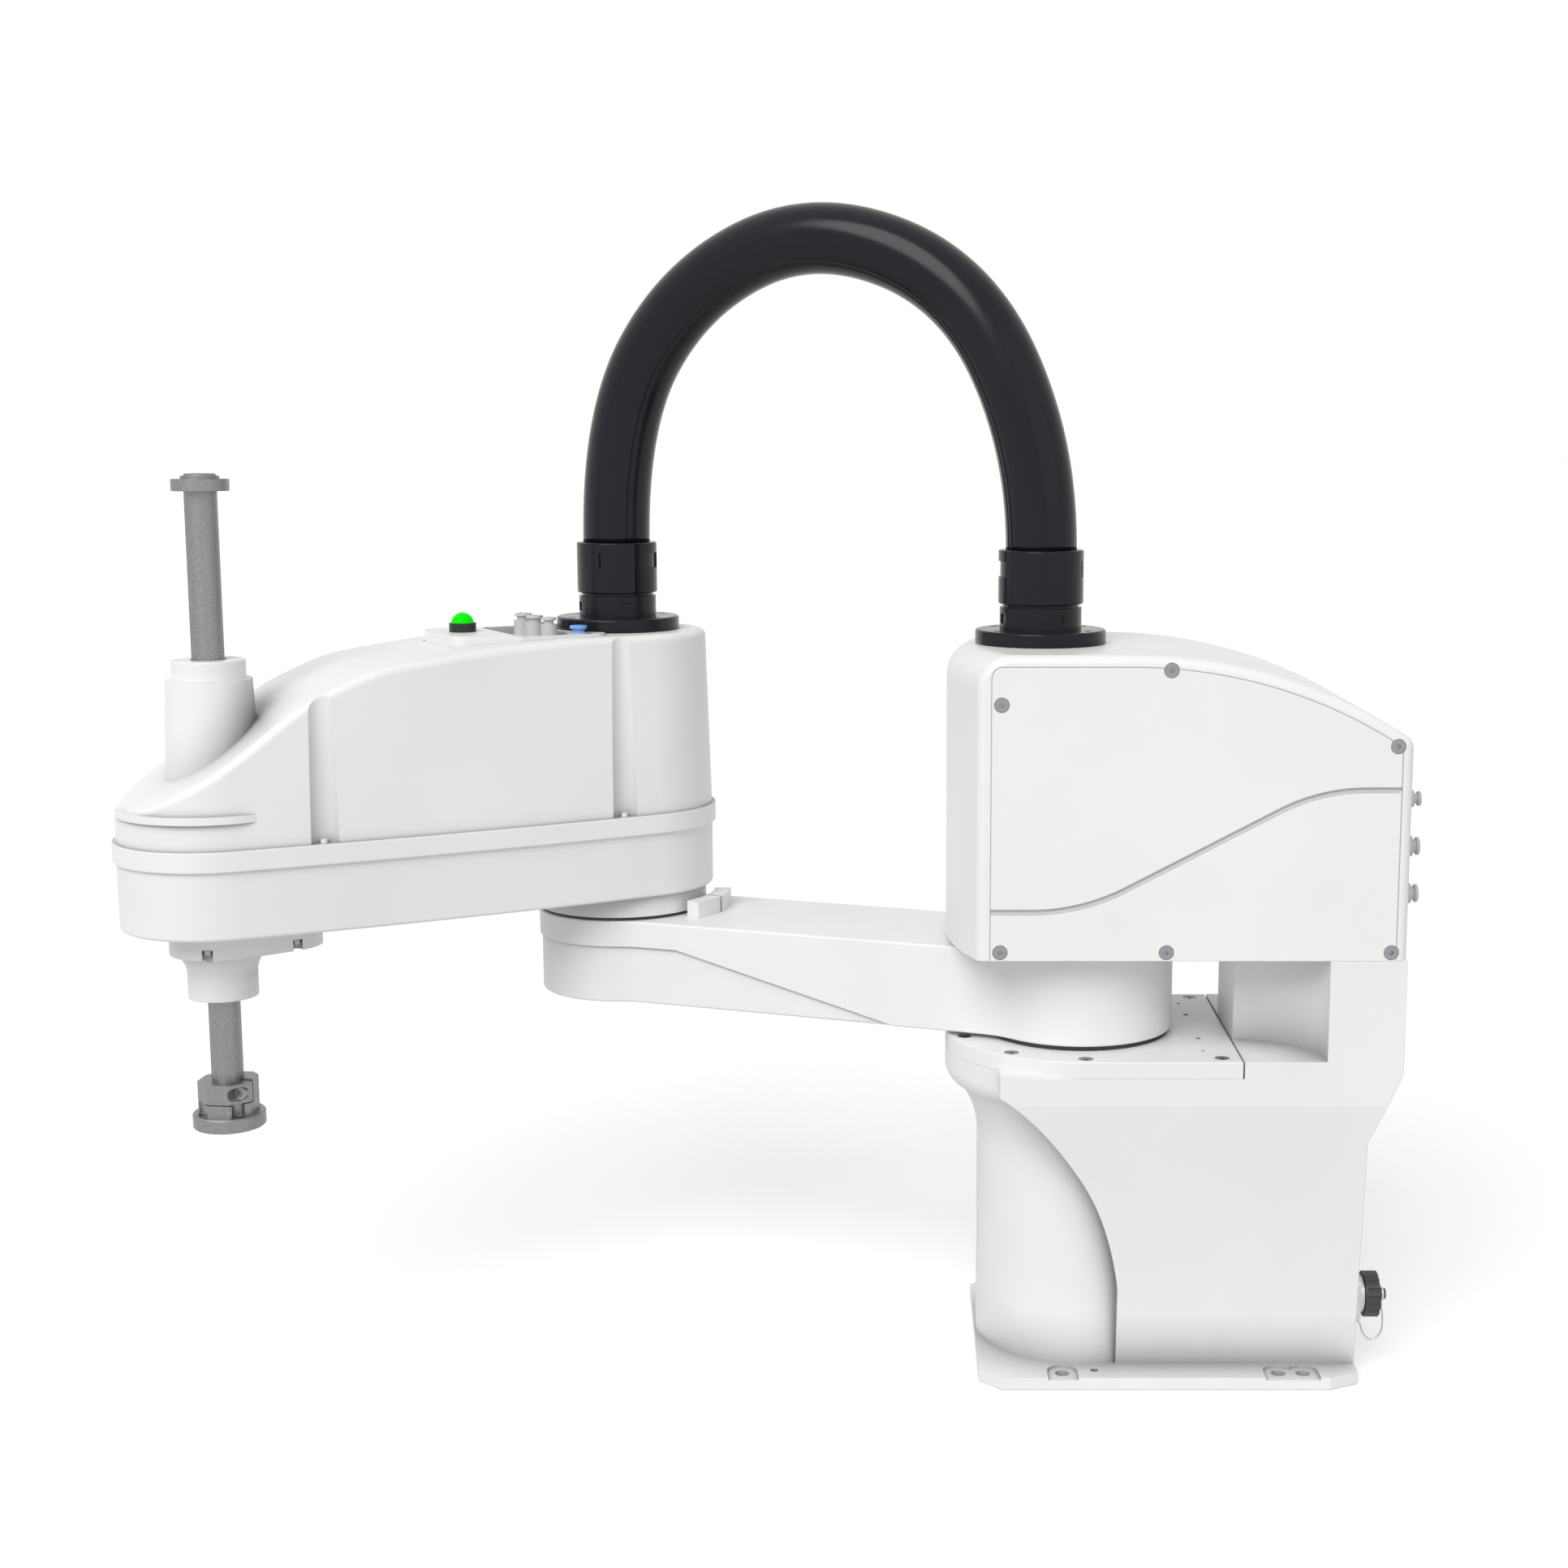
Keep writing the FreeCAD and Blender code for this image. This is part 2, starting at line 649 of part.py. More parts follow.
def rear_fitting_pieces(maker):
    return [along_x(maker(r, t, rear_fitting_stand), head_rear, rear_fitting_y, z)
            for z, r, t in zip(rear_fitting_z, rear_fitting_radii, tube_radii)]


def panel_fitting_pieces(maker):
    pieces = []
    for (s, y, radius, tube_radius), top in zip(panel_fittings, panel_fitting_tops):
        piece = maker(radius, tube_radius, top - panel_floor)
        piece.translate(V(s, y, panel_floor))
        pieces.append(piece)
    return pieces


# Round connector with its cap and tether
def rear_connector():
    plate = block(0, connector_flange_thickness, -connector_flange_half, connector_flange_half,
                  -connector_flange_half, connector_flange_half)
    plate = plate.makeFillet(3, [e for e in plate.Edges if abs(e.Vertexes[0].Point.x - e.Vertexes[1].Point.x) > 1])
    plate.translate(V(plate_rear, connector_y, connector_z))
    body = along_x(tube(connector_body_radius - 2.6, connector_body_radius - 5, -14,
                        connector_flange_thickness + connector_body_length), plate_rear, connector_y, connector_z)
    rim = along_x(tube(connector_body_radius, connector_body_radius - 5, 0, connector_flange_thickness
                       + connector_body_length - 2), plate_rear, connector_y, connector_z)
    insert = along_x(cylinder(connector_body_radius - 4.9, -10, 4), plate_rear, connector_y, connector_z)
    joined = plate.fuse([body, rim, insert])
    lug = block(plate_rear, plate_rear + 3, connector_y - 3, connector_y + 3, connector_z - connector_flange_half - 6,
                connector_z - connector_flange_half + 1)
    return joined.fuse(lug).removeSplitter()


def cap_start():
    return connector_flange_thickness + connector_body_length - 1.6


def connector_cap():
    start, end = cap_start(), cap_start() + cap_length
    cap = cylinder(cap_radius, start, end).cut(cylinder(connector_body_radius - 2.6 + shaft_clearance, start - 1,
                                                         start + 4))
    for i in range(cap_ribs):
        turn = math.radians(360 / cap_ribs * i)
        cap = cap.cut(cylinder(1.1, start + 1.5, end + 1, (cap_radius + 0.2) * math.cos(turn),
                               (cap_radius + 0.2) * math.sin(turn)))
    hub = cylinder(4.5, end, end + 2.4)
    pin = cylinder(2.2, end + 2.4, end + 4.6).fuse(cylinder(3.4, end + 4.6, end + 5.6))
    return along_x(cap.fuse([hub, pin]).removeSplitter(), plate_rear, connector_y, connector_z)


def tether_points():
    low = connector_z - connector_flange_half - 4.0
    ring = plate_rear + cap_start() + cap_length + 3.5
    return [V(plate_rear + 3.0, connector_y, low), V(plate_rear + 6.5, connector_y, low - 1.5),
            V(plate_rear + 8.0, connector_y, low - 9.0), V(plate_rear + 12.5, connector_y, low - 14.5),
            V(plate_rear + 17.5, connector_y, low - 13.5), V(ring + 1.5, connector_y, low - 7.0),
            V(ring + 1.0, connector_y, low + 4.0), V(ring, connector_y, connector_z - 9.0),
            V(ring, connector_y, connector_z - 4.4)]


def bent_tube(points, radius):
    """A round tube along straight runs joined by tangent arcs as large as the runs allow."""
    edges, start, radii = [], points[0], []
    for before, corner, after in zip(points, points[1:], points[2:]):
        to_before, to_after = (before - corner), (after - corner)
        run = min(to_before.Length, to_after.Length)
        to_before.normalize()
        to_after.normalize()
        half_turn = (math.pi - to_before.getAngle(to_after)) / 2
        reach = 0.45 * run
        bisector = to_before + to_after
        bisector.normalize()
        bend = reach / math.tan(half_turn)
        radii.append(round(bend, 1))
        centre = corner + bisector * (bend / math.cos(half_turn))
        middle = centre - bisector * bend
        edges.append(Part.makeLine(start, corner + to_before * reach))
        edges.append(arc(corner + to_before * reach, middle, corner + to_after * reach))
        start = corner + to_after * reach
    edges.append(Part.makeLine(start, points[-1]))
    wire = Part.Wire(edges)
    section = Part.Wire(Part.makeCircle(radius, points[0], points[1] - points[0]))
    solid = wire.makePipeShell([section], True, True)
    expected = math.pi * radius ** 2 * wire.Length
    print("radii", radii, "length", round(wire.Length, 1), "volume share", round(solid.Volume / expected, 4))
    return solid


def tether():
    return bent_tube(tether_points(), tether_diameter / 2)


def tether_ends():
    """A crimped eyelet at each end of the wire, one on the lug and one round the cap's pin."""
    first, last = tether_points()[0], tether_points()[-1]
    eye = along_x(tube(4.4 - shaft_clearance, 2.2 + shaft_clearance, -0.7, 0.7), last.x, connector_y, connector_z)
    crimp = block(first.x, first.x + 1.6, connector_y - 1.5, connector_y + 1.5, first.z - 1.5, first.z + 2.5)
    return [eye, crimp.cut(tether_wire)]


# First joint: motor, reducer, rotor and output hub
def j1_motor():
    body = rounded_box(-motor1_half, motor1_half, -motor1_half, motor1_half, motor1_bottom, reducer_seat_z - 10, 6)
    flange = cylinder(motor_bay_radius - 0.5, reducer_seat_z - 10, reducer_seat_z)
    foot = cylinder(motor1_half - 4, base_floor, motor1_bottom)
    return body.fuse([flange, foot]).removeSplitter().cut(cylinder(rotor_radius + shaft_clearance,
                                                                   reducer_seat_z - 40, deck_top))


def j1_reducer_case():
    top = deck_top - deck_thickness
    return tube(reducer_bay_radius, reducer1_bore, reducer_seat_z, top)


def j1_rotor():
    return cylinder(rotor_radius, reducer_seat_z - 38, reducer_seat_z + 24).fuse(
        cylinder(rotor_disc_radius, reducer_seat_z + 6, reducer_seat_z + 20)).removeSplitter()


def j1_output_hub():
    low = reducer_seat_z + 3
    hub = cylinder(reducer1_bore - shaft_clearance, low, deck_top - deck_thickness + 1).fuse(
        cylinder(hub1_flange_radius, deck_top - deck_thickness + running_gap, arm1_bottom))
    return hub.removeSplitter().cut(cylinder(rotor_disc_radius + 3, low - 1, reducer_seat_z + 28))


def j1_seal():
    return tube(arm1_root_radius - 2.5, hub1_flange_radius + 6, deck_top, arm1_bottom - running_gap)


# First arm, made along +X from the first axis
def arm1_outline(low, high, trim=0.0):
    """Two round ends and a narrower beam, joined by hollow curves."""
    half = arm1_half_width - trim
    blend = arm1_blend_radius + trim
    ends = []
    for x, radius, turn in ((0.0, arm1_root_radius - trim, 1), (arm1_length, arm1_tip_radius - trim, -1)):
        reach = math.sqrt((radius + blend) ** 2 - (half + blend) ** 2)
        share = radius / (radius + blend)
        on_circle = (x + turn * reach * share, (half + blend) * share)
        on_side = (x + turn * reach, half)
        off = math.atan2(on_side[1] - half - blend, 0) + math.atan2(on_circle[1] - half - blend,
                                                                   on_circle[0] - on_side[0])
        middle = (on_side[0] + blend * math.cos(off / 2), half + blend + blend * math.sin(off / 2))
        ends.append((on_circle, middle, on_side, (x - turn * radius, 0)))
    (c1, m1, s1, back), (c2, m2, s2, tip) = ends
    up = [V(x, y, low) for x, y in (c1, m1, s1, s2, m2, c2)]
    down = [V(p.x, -p.y, low) for p in up]
    edges = [arc(up[0], up[1], up[2]), Part.makeLine(up[2], up[3]), arc(up[3], up[4], up[5]),
             arc(up[5], V(tip[0], 0, low), down[5]), arc(down[5], down[4], down[3]),
             Part.makeLine(down[3], down[2]), arc(down[2], down[1], down[0]),
             arc(down[0], V(back[0], 0, low), up[0])]
    return Part.Face(Part.Wire(edges)).extrude(UP * (high - low))


def arm1_casting():
    outer = rounded_ends(arm1_outline(arm1_bottom, arm1_top), arm1_edge_round)
    inner = rounded_ends(arm1_outline(arm1_bottom, arm1_top, arm1_skirt_depth), arm1_edge_round)
    far = arm1_length + arm1_tip_radius + 5
    region = face_of([(arm1_skirt_foot, arm1_bottom - 1), (arm1_skirt_turn, arm1_skirt_z), (far, arm1_skirt_z),
                      (far, arm1_bottom - 1)], "xz").extrude(V(0, 300, 0))
    region.translate(V(0, -150, 0))
    body = outer.cut(region).fuse(inner.common(region)).removeSplitter()
    low, high = arm1_bottom - 1, arm1_top - arm1_web
    rib_places = [arm1_root_radius + 12 + 62 * i for i in range(3)]
    for x in rib_places:
        body = body.cut(rounded_box(x, x + 56, -arm1_half_width + arm1_wall, arm1_half_width - arm1_wall, low, high, 8))
    body = body.cut(cylinder(reducer2_radius, reducer2_bottom, arm1_top + 1, arm1_length, 0))
    return body


def arm1_stop_blocks():
    ring = tube(stop_radii[1], stop_radii[0], arm1_top, arm1_top + stop_height)
    blocks = []
    for a, b in stop_angles:
        piece = ring.common(sector(a, b, 0.0))
        piece.translate(V(joint2[0], joint2[1], 0))
        blocks.append(piece)
    return blocks


# Second joint
def j2_reducer_case():
    return tube(reducer2_radius, reducer2_bore, reducer2_bottom, arm1_top)


def j2_seal():
    return tube(neck_ring_radius - 1.5, reducer2_radius - 6, arm1_top, arm1_top + seal_height)


def j2_output_hub():
    low = reducer2_bottom + 3
    top = arm1_top + seal_height + running_gap
    hub = cylinder(reducer2_bore - shaft_clearance, low, top)
    return hub.cut(cylinder(rotor_disc_radius + 0.5, low - 1, low + 24)).cut(
        cylinder(rotor_radius + 1, low, top + 1))


def j2_rotor():
    low = reducer2_bottom + 6
    floor = arm2_bottom + tray_floor
    return cylinder(rotor_radius, low, floor + 20).fuse(cylinder(rotor_disc_radius, low, low + 14)).removeSplitter()


def j2_motor():
    floor = arm2_bottom + tray_floor
    body = cylinder(motor2_radius, floor, floor + motor2_height)
    cap = cylinder(motor2_radius - 5, floor + motor2_height, floor + motor2_height + 12)
    return body.fuse(cap).removeSplitter().cut(cylinder(rotor_radius + shaft_clearance, floor - 1, floor + 22))


# Second arm, made along +X from the second axis. The near side is +Y here
def arm2_wire(z, trim):
    """The arm's plan: two round ends and gently bowed sides, every arc tangent to the next."""
    r1, r2, side = arm2_root_radius - trim, arm2_tip_radius - trim, arm2_side_radius - trim
    d1, d2, length = side - r1, side - r2, arm2_length
    x = (d1 ** 2 - d2 ** 2 + length ** 2) / (2 * length)
    y = math.sqrt(d1 ** 2 - x ** 2)
    touch1 = V(-x * r1 / d1, y * r1 / d1, z)
    touch2 = V(length + (length - x) * r2 / d2, y * r2 / d2, z)
    middle = V(x, -y + side, z)
    flip = [V(p.x, -p.y, z) for p in (touch1, middle, touch2)]
    return Part.Wire([arc(touch1, middle, touch2), arc(touch2, V(length + r2, 0, z), flip[2]),
                      arc(flip[2], flip[1], flip[0]), arc(flip[0], V(-r1, 0, z), touch1)])


def arm2_prism(low, high, trim):
    return Part.Face(arm2_wire(low, trim)).extrude(UP * (high - low))


def arm2_casting():
    floor = arm2_bottom + tray_floor
    body = rounded_ends(arm2_prism(arm2_bottom, arm2_split, 0.0), arm2_edge_round, False)
    body = body.cut(arm2_prism(floor, arm2_split + 1, tray_wall))
    neck_ring = cylinder(neck_ring_radius, arm1_top + seal_height + running_gap, arm2_bottom + 1)
    bosses = [cylinder(cover_boss_radius, floor - 1, arm2_split, s, y - math.copysign(tray_wall - cover_screw_in, y))
              for s, y in cover_screw_places()]
    body = body.fuse([neck_ring] + bosses).removeSplitter()
    for s, y in cover_screw_places():
        body = body.cut(cylinder(cover_screw_radius, arm2_split - cover_screw_grip - 1, arm2_split + 1, s, y))
    body = body.cut(cylinder(rotor_radius + 1, 0, floor + 1))
    body = body.cut(cylinder(spline_nut_radius + 1.5, 0, floor + 1, arm2_length, 0))
    for x, y in housing_screw_places():
        body = body.cut(cylinder(housing_screw_radius + 0.1, arm2_bottom - 1, arm2_bottom + 6, x, y))
    return body


def cover_form(trim):
    """The cover's outer form, or with a trim the hollow inside it."""
    high = cover_top + 12
    lean = cover_draft * (high - band_top) / (cover_top - band_top)
    walls = Part.makeLoft([arm2_wire(band_top - 1, trim), arm2_wire(high, trim + lean)], True, True)
    curve = Part.BSplineCurve()
    points = [V(cover_flat_end, 0, cover_top)] + [V(s, 0, z) for s, z in cover_profile]
    curve.interpolate(Points=points, InitialTangent=V(1, 0, 0))
    first, last = points[0], points[-1]
    far, back = V(last.x, 0, 0), V(-arm2_root_radius - 20, 0, 0)
    edges = [curve.toShape(), Part.makeLine(last, far), Part.makeLine(far, back),
             Part.makeLine(back, V(back.x, 0, cover_top)), Part.makeLine(V(back.x, 0, cover_top), first)]
    roof = Part.Face(Part.Wire(edges)).extrude(V(0, 300, 0))
    roof.translate(V(0, -150, -trim))
    return walls.common(roof)


def scallop(s, side, grow):
    """A round upright groove in the cover's side, with a seat for a screw at its foot."""
    centre = side * (arm2_side_offset(s) + scallop_radius - scallop_depth)
    return cylinder(scallop_radius + grow, band_top - 1 if grow else band_top, cover_top + 20, s, centre)


def arm2_side_offset(s):
    d1, d2 = arm2_side_radius - arm2_root_radius, arm2_side_radius - arm2_tip_radius
    x = (d1 ** 2 - d2 ** 2 + arm2_length ** 2) / (2 * arm2_length)
    y = math.sqrt(d1 ** 2 - x ** 2)
    return math.sqrt(arm2_side_radius ** 2 - (s - x) ** 2) - y


def roof_edges(form):
    """The rounded rim: edges between the roof and the upright walls."""
    picked = []
    for e in form.Edges:
        z_low = e.BoundBox.ZMin
        z_high = e.BoundBox.ZMax
        long_up = abs(e.Vertexes[0].Point.z - e.Vertexes[-1].Point.z) > 50 and e.Length < 140 \
            and e.BoundBox.XLength + e.BoundBox.YLength < 12
        across = e.BoundBox.YLength > 60 and e.BoundBox.XLength < 1
        if z_low > band_top + 5 and z_high <= cover_top + 0.1 and not long_up and not across:
            picked.append(e)
    return picked


def arm2_cover():
    outer = cover_form(0.0)
    outer = outer.makeFillet(cover_edge_round, roof_edges(outer))
    inner = cover_form(cover_wall)
    for s in scallop_s:
        for side in (-1, 1):
            outer = outer.cut(scallop(s, side, 0.0))
            inner = inner.cut(scallop(s, side, cover_wall))
    band = rounded_ends(arm2_prism(arm2_split, band_top, -band_stand), band_edge_round)
    inner = inner.fuse(arm2_prism(arm2_split - 1, band_top, cover_wall + 4))
    tower = revolve([(0, tower_foot_z), (tower_foot_radius, tower_foot_z), (tower_top_radius, tower_top),
                     (0, tower_top)], arm2_length)
    well = revolve([(0, tower_foot_z - 5), (tower_foot_radius - tower_wall, tower_foot_z - 5),
                    (tower_top_radius - tower_wall, tower_top - 4), (collar_radius - 2.5, tower_top - 4),
                    (collar_radius - 2.5, tower_top + 1), (0, tower_top + 1)], arm2_length)
    ledge = cylinder(arm2_tip_radius - 0.6, ledge_bottom, ledge_top, arm2_length + ledge_shift * 0.47, ledge_shift * 0.88)
    ledge = ledge.common(block(arm2_length - 16, arm2_length + 90, 0, 90, ledge_bottom, ledge_top))
    shell = outer.fuse([band, tower, ledge]).cut(inner).cut(well)
    shell = shell.cut(cylinder(duct_radius - 3, cover_top - 40, cover_top + 1))
    shell = shell.cut(panel_prism(panel_bottom, cover_top + 20, panel_gap))
    for s, y in cover_screw_places():
        shell = shell.cut(cylinder(cover_screw_radius, arm2_split - 1, band_top + 1, s, y))
    return shell.removeSplitter()


def cover_screw_places():
    return [(s, side * (arm2_side_offset(s) - cover_screw_in)) for s in scallop_s for side in (-1, 1)]


def cover_screws():
    solids = []
    for s, y in cover_screw_places():
        head = cylinder(cover_screw_head, band_top, band_top + 2.6, s, y)
        shank = cylinder(cover_screw_radius - 0.1, arm2_split - cover_screw_grip, band_top, s, y)
        solids.append(head.fuse(shank).removeSplitter())
    for s, y in panel_tray_screws:
        head = Part.makeSphere(cover_screw_head, V(s, y, panel_floor)).common(
            cylinder(cover_screw_head + 1, panel_floor, panel_floor + 5, s, y))
        shank = cylinder(cover_screw_radius - 0.1, panel_bottom, panel_floor + 0.5, s, y)
        solids.append(head.fuse(shank).removeSplitter())
    return solids


def tower_collar():
    collar = cylinder(collar_radius, tower_top, collar_top).fuse(
        cylinder(collar_radius - 2.6, tower_top - 4, tower_top)).removeSplitter()
    rim = [e for e in collar.Edges if e.BoundBox.ZMin > collar_top - 0.1]
    collar = collar.makeFillet(1.0, rim)
    collar.translate(V(arm2_length, 0, 0))
    return collar.cut(cylinder(shaft_radius + 1, 0, 600, arm2_length, 0))


# User panel, lamp and fittings on the cover
def panel_prism(low, high, grow):
    """The panel's plan, grown all round, with a bite that keeps it off the duct's flange."""
    plate = face_of(panel_plan, "xy").makeOffset2D(grow) if grow else face_of(panel_plan, "xy")
    plate = plate.extrude(UP * (high - low))
    upright = [e for e in plate.Edges if e.BoundBox.ZLength > 1 and e.BoundBox.XLength < 0.01]
    plate = plate.makeFillet(panel_corner + grow, upright) if len(upright) == 6 else plate
    plate.translate(UP * low)
    return plate.cut(cylinder(duct_flange_radius + panel_keep_off - grow, 0, 600))


def user_panel():
    """A tray with a raised boss for the lamp. Its lip bears against the cover's inside."""
    tub = panel_prism(panel_bottom, panel_boss_top, 0.0)
    start, end = panel_step
    low, high = V(start, 0, panel_rim_top), V(end, 0, panel_boss_top)
    ramp = Part.BSplineCurve()
    ramp.interpolate(Points=[low, high], InitialTangent=V(1, 0, 0), FinalTangent=V(1, 0, 0))
    left, right = V(0, 0, low.z), V(200, 0, high.z)
    over = [Part.makeLine(left, low), ramp.toShape(), Part.makeLine(high, right),
            Part.makeLine(right, right + UP * 10), Part.makeLine(right + UP * 10, V(0, 0, right.z + 10)),
            Part.makeLine(V(0, 0, right.z + 10), left)]
    above = Part.Face(Part.Wire(over)).extrude(V(0, 200, 0))
    above.translate(V(0, -100, 0))
    tub = tub.cut(above)
    x0, x1, y0, y1 = panel_tray
    tray = rounded_box(x0, x1, y0, y1, panel_floor, panel_boss_top + 1, panel_tray_corner)
    tub = tub.cut(tray.cut(cylinder(duct_flange_radius + panel_keep_off + x0 - panel_plan[0][0], 0, 600)))
    lip = panel_prism(panel_bottom, panel_boss_top, panel_lip).cut(panel_prism(0, 600, -1.0))
    body = tub.fuse(lip.common(cover_form(cover_wall))).removeSplitter()
    for s, y, radius, tube_radius in panel_fittings:
        body = body.cut(cylinder(radius - 1.05, 0, 600, s, y))
    for s, y in panel_tray_screws:
        body = body.cut(cylinder(cover_screw_radius, 0, 600, s, y))
    return body.cut(cylinder(lamp_stem_radius, 0, 600, *lamp_place))


def lamp_base():
    ring = cylinder(lamp_ring_radius, panel_boss_top, panel_boss_top + lamp_ring_height)
    stem = cylinder(lamp_stem_radius, panel_bottom - 3, panel_boss_top)
    body = ring.fuse(stem).removeSplitter()
    body.translate(V(lamp_place[0], lamp_place[1], 0))
    return body


def lamp_dome():
    low = panel_boss_top + lamp_ring_height
    dome = Part.makeSphere(lamp_dome_radius, V(0, 0, low - lamp_dome_sink)).common(cylinder(20, low, low + 20))
    dome.translate(V(lamp_place[0], lamp_place[1], 0))
    return dome


# Drives inside the second arm
def drive_frame():
    """Two side plates and two cross plates that carry the motors and the ball-screw nut."""
    floor = arm2_bottom + tray_floor
    top = upper_plate_z + frame_plate
    walls = [block(frame_rear, frame_front, side * frame_half_width - (frame_wall if side < 0 else 0),
                   side * frame_half_width + (frame_wall if side > 0 else 0), floor, top) for side in (-1, 1)]
    lower = block(frame_rear, frame_front, -frame_half_width, frame_half_width, lower_plate_z,
                  lower_plate_z + frame_plate)
    upper = block(motor3_s - servo_half - 2, frame_front, -frame_half_width, frame_half_width, upper_plate_z, top)
    body = walls[0].fuse([walls[1], lower, upper]).removeSplitter()
    body = body.cut(cylinder(spline_nut_radius + 2, lower_plate_z - 1, lower_plate_z + frame_plate + 1, arm2_length, 0))
    body = body.cut(cylinder(ball_nut_radius + running_gap, upper_plate_z - 1, top + 1, arm2_length, 0))
    body = body.cut(cylinder(6, lower_plate_z - 1, lower_plate_z + frame_plate + 1, motor4_s, 0))
    body = body.cut(cylinder(6, upper_plate_z - 1, top + 1, motor3_s, 0))
    return body


def servo(s, low, height):
    """A small servo motor standing on a plate, with its rear cover and a bore for the pulley's shaft."""
    body = rounded_box(s - servo_half, s + servo_half, -servo_half, servo_half, low, low + height - 14, 3)
    cover = rounded_box(s - servo_half + 2, s + servo_half - 2, -servo_half + 2, servo_half - 2,
                        low + height - 14, low + height, 3)
    return body.fuse(cover).removeSplitter().cut(cylinder(4 + shaft_clearance, low - 1, low + 18, s, 0))


def motor_pulley(s, plate_z):
    top = plate_z - 1
    wheel = cylinder(motor_pulley_radius, top - pulley_height, top, s, 0)
    rims = [cylinder(motor_pulley_radius + 1.4, z, z + 1, s, 0) for z in (top - pulley_height, top - 1)]
    shaft = cylinder(4, top - pulley_height, plate_z + frame_plate + 16, s, 0)
    return wheel.fuse(rims + [shaft]).removeSplitter()


def belt(s, plate_z):
    middle = plate_z - 1 - pulley_height / 2
    low, high = middle - belt_width / 2, middle + belt_width / 2
    inner = [motor_pulley_radius + running_gap, nut_pulley_radius + running_gap]
    ends = [(s, 0.0), (arm2_length, 0.0)]
    outer = stadium(*ends, inner[0] + belt_thickness, inner[1] + belt_thickness, low, high)
    return outer.cut(stadium(*ends, inner[0], inner[1], low - 1, high + 1))


def nut_pulley(plate_z):
    top = plate_z - 1
    wheel = cylinder(nut_pulley_radius, top - pulley_height, top, arm2_length, 0)
    rims = [cylinder(nut_pulley_radius + 1.4, z, z + 1, arm2_length, 0) for z in (top - pulley_height, top - 1)]
    return wheel.fuse(rims)


def spline_nut():
    body = cylinder(spline_nut_radius, spline_nut_bottom, lower_plate_z - 1, arm2_length, 0)
    body = body.fuse(nut_pulley(lower_plate_z)).removeSplitter()
    return body.cut(cylinder(shaft_radius + shaft_clearance, 0, 600, arm2_length, 0))


def ball_screw_nut():
    body = cylinder(ball_nut_radius, upper_plate_z - 1 - pulley_height, ball_nut_top, arm2_length, 0)
    body = body.fuse(nut_pulley(upper_plate_z)).removeSplitter()
    return body.cut(cylinder(shaft_radius + shaft_clearance, 0, 600, arm2_length, 0))


# Housing under the second arm
def housing_screw_places():
    """Two screws beside the shaft and two in the lobe, with recesses that open through the plate's wall."""
    spots = []
    for centre, radius, angle in ((arm2_length, housing_plate_radius, housing_screw_angles[0]),
                                  (arm2_length - housing_lobe_reach, housing_lobe_radius, housing_screw_angles[1])):
        reach, turn = radius - housing_screw_in, math.radians(angle)
        spots += [(centre + reach * math.cos(turn), side * reach * math.sin(turn)) for side in (-1, 1)]
    return spots


def lower_housing():
    plate_low = arm2_bottom - housing_plate_thickness
    cone_low = plate_low - housing_cone_height
    plate = stadium((arm2_length - housing_lobe_reach, 0.0), (arm2_length, 0.0), housing_lobe_radius,
                    housing_plate_radius, plate_low, arm2_bottom)
    cone = Part.Face(Part.Wire([
        Part.makeLine(V(0, 0, housing_bottom), V(housing_radius, 0, housing_bottom)),
        Part.makeLine(V(housing_radius, 0, housing_bottom), V(housing_radius, 0, cone_low)),
        arc(V(housing_radius, 0, cone_low),
            V(housing_radius + (housing_cone_radius - housing_radius) * 0.4, 0, cone_low + housing_cone_height * 0.58),
            V(housing_cone_radius, 0, plate_low)),
        Part.makeLine(V(housing_cone_radius, 0, plate_low), V(housing_cone_radius, 0, plate_low + 1)),
        Part.makeLine(V(housing_cone_radius, 0, plate_low + 1), V(0, 0, plate_low + 1)),
        Part.makeLine(V(0, 0, plate_low + 1), V(0, 0, housing_bottom))])).revolve(V(0, 0, 0), UP, 360)
    cone.translate(V(arm2_length, 0, 0))
    body = plate.fuse(cone).removeSplitter()
    body = body.cut(cylinder(spline_nut_radius + running_gap, spline_nut_bottom - running_gap, arm2_bottom + 1,
                             arm2_length, 0))
    body = body.cut(cylinder(shaft_radius + 0.6, 0, 600, arm2_length, 0))
    for x, y in housing_screw_places():
        body = body.cut(cylinder(housing_screw_radius + 0.1, plate_low - 1, arm2_bottom + 1, x, y))
        body = body.cut(cylinder(housing_recess_radius, plate_low - 5, plate_low + housing_recess_depth, x, y))
    return body


def housing_screws():
    seat = arm2_bottom - housing_plate_thickness + housing_recess_depth
    return [cylinder(housing_recess_radius - 1.0, seat - 3.0, seat, x, y).fuse(
        cylinder(housing_screw_radius, seat, arm2_bottom + 5, x, y)).removeSplitter()
        for x, y in housing_screw_places()]


# Spline shaft and what is clamped to it
def spline_shaft():
    shaft = cylinder(shaft_radius, shaft_bottom, shaft_top)
    ends = [e for e in shaft.Edges if e.BoundBox.ZLength < 0.1]
    shaft = shaft.makeChamfer(1.0, ends)
    for a in (0, 180):
        turn = math.radians(a)
        shaft = shaft.cut(cylinder(shaft_groove, flange_z[0] + 32, stop_ring_z[0] - 4,
                                   shaft_radius * math.cos(turn), shaft_radius * math.sin(turn)))
    return shaft.cut(cylinder(shaft_bore, 0, 600))


def top_stop_ring():
    low, high = stop_ring_z
    ring = tube(stop_ring_radius, shaft_radius, low, high)
    ring = ring.cut(block(-stop_ring_radius - 1, 0, -clamp_slit / 2, clamp_slit / 2, low - 1, high + 1))
    washer = tube(shaft_radius + 1.75, shaft_radius, high, high + 1.9)
    return [ring, washer]


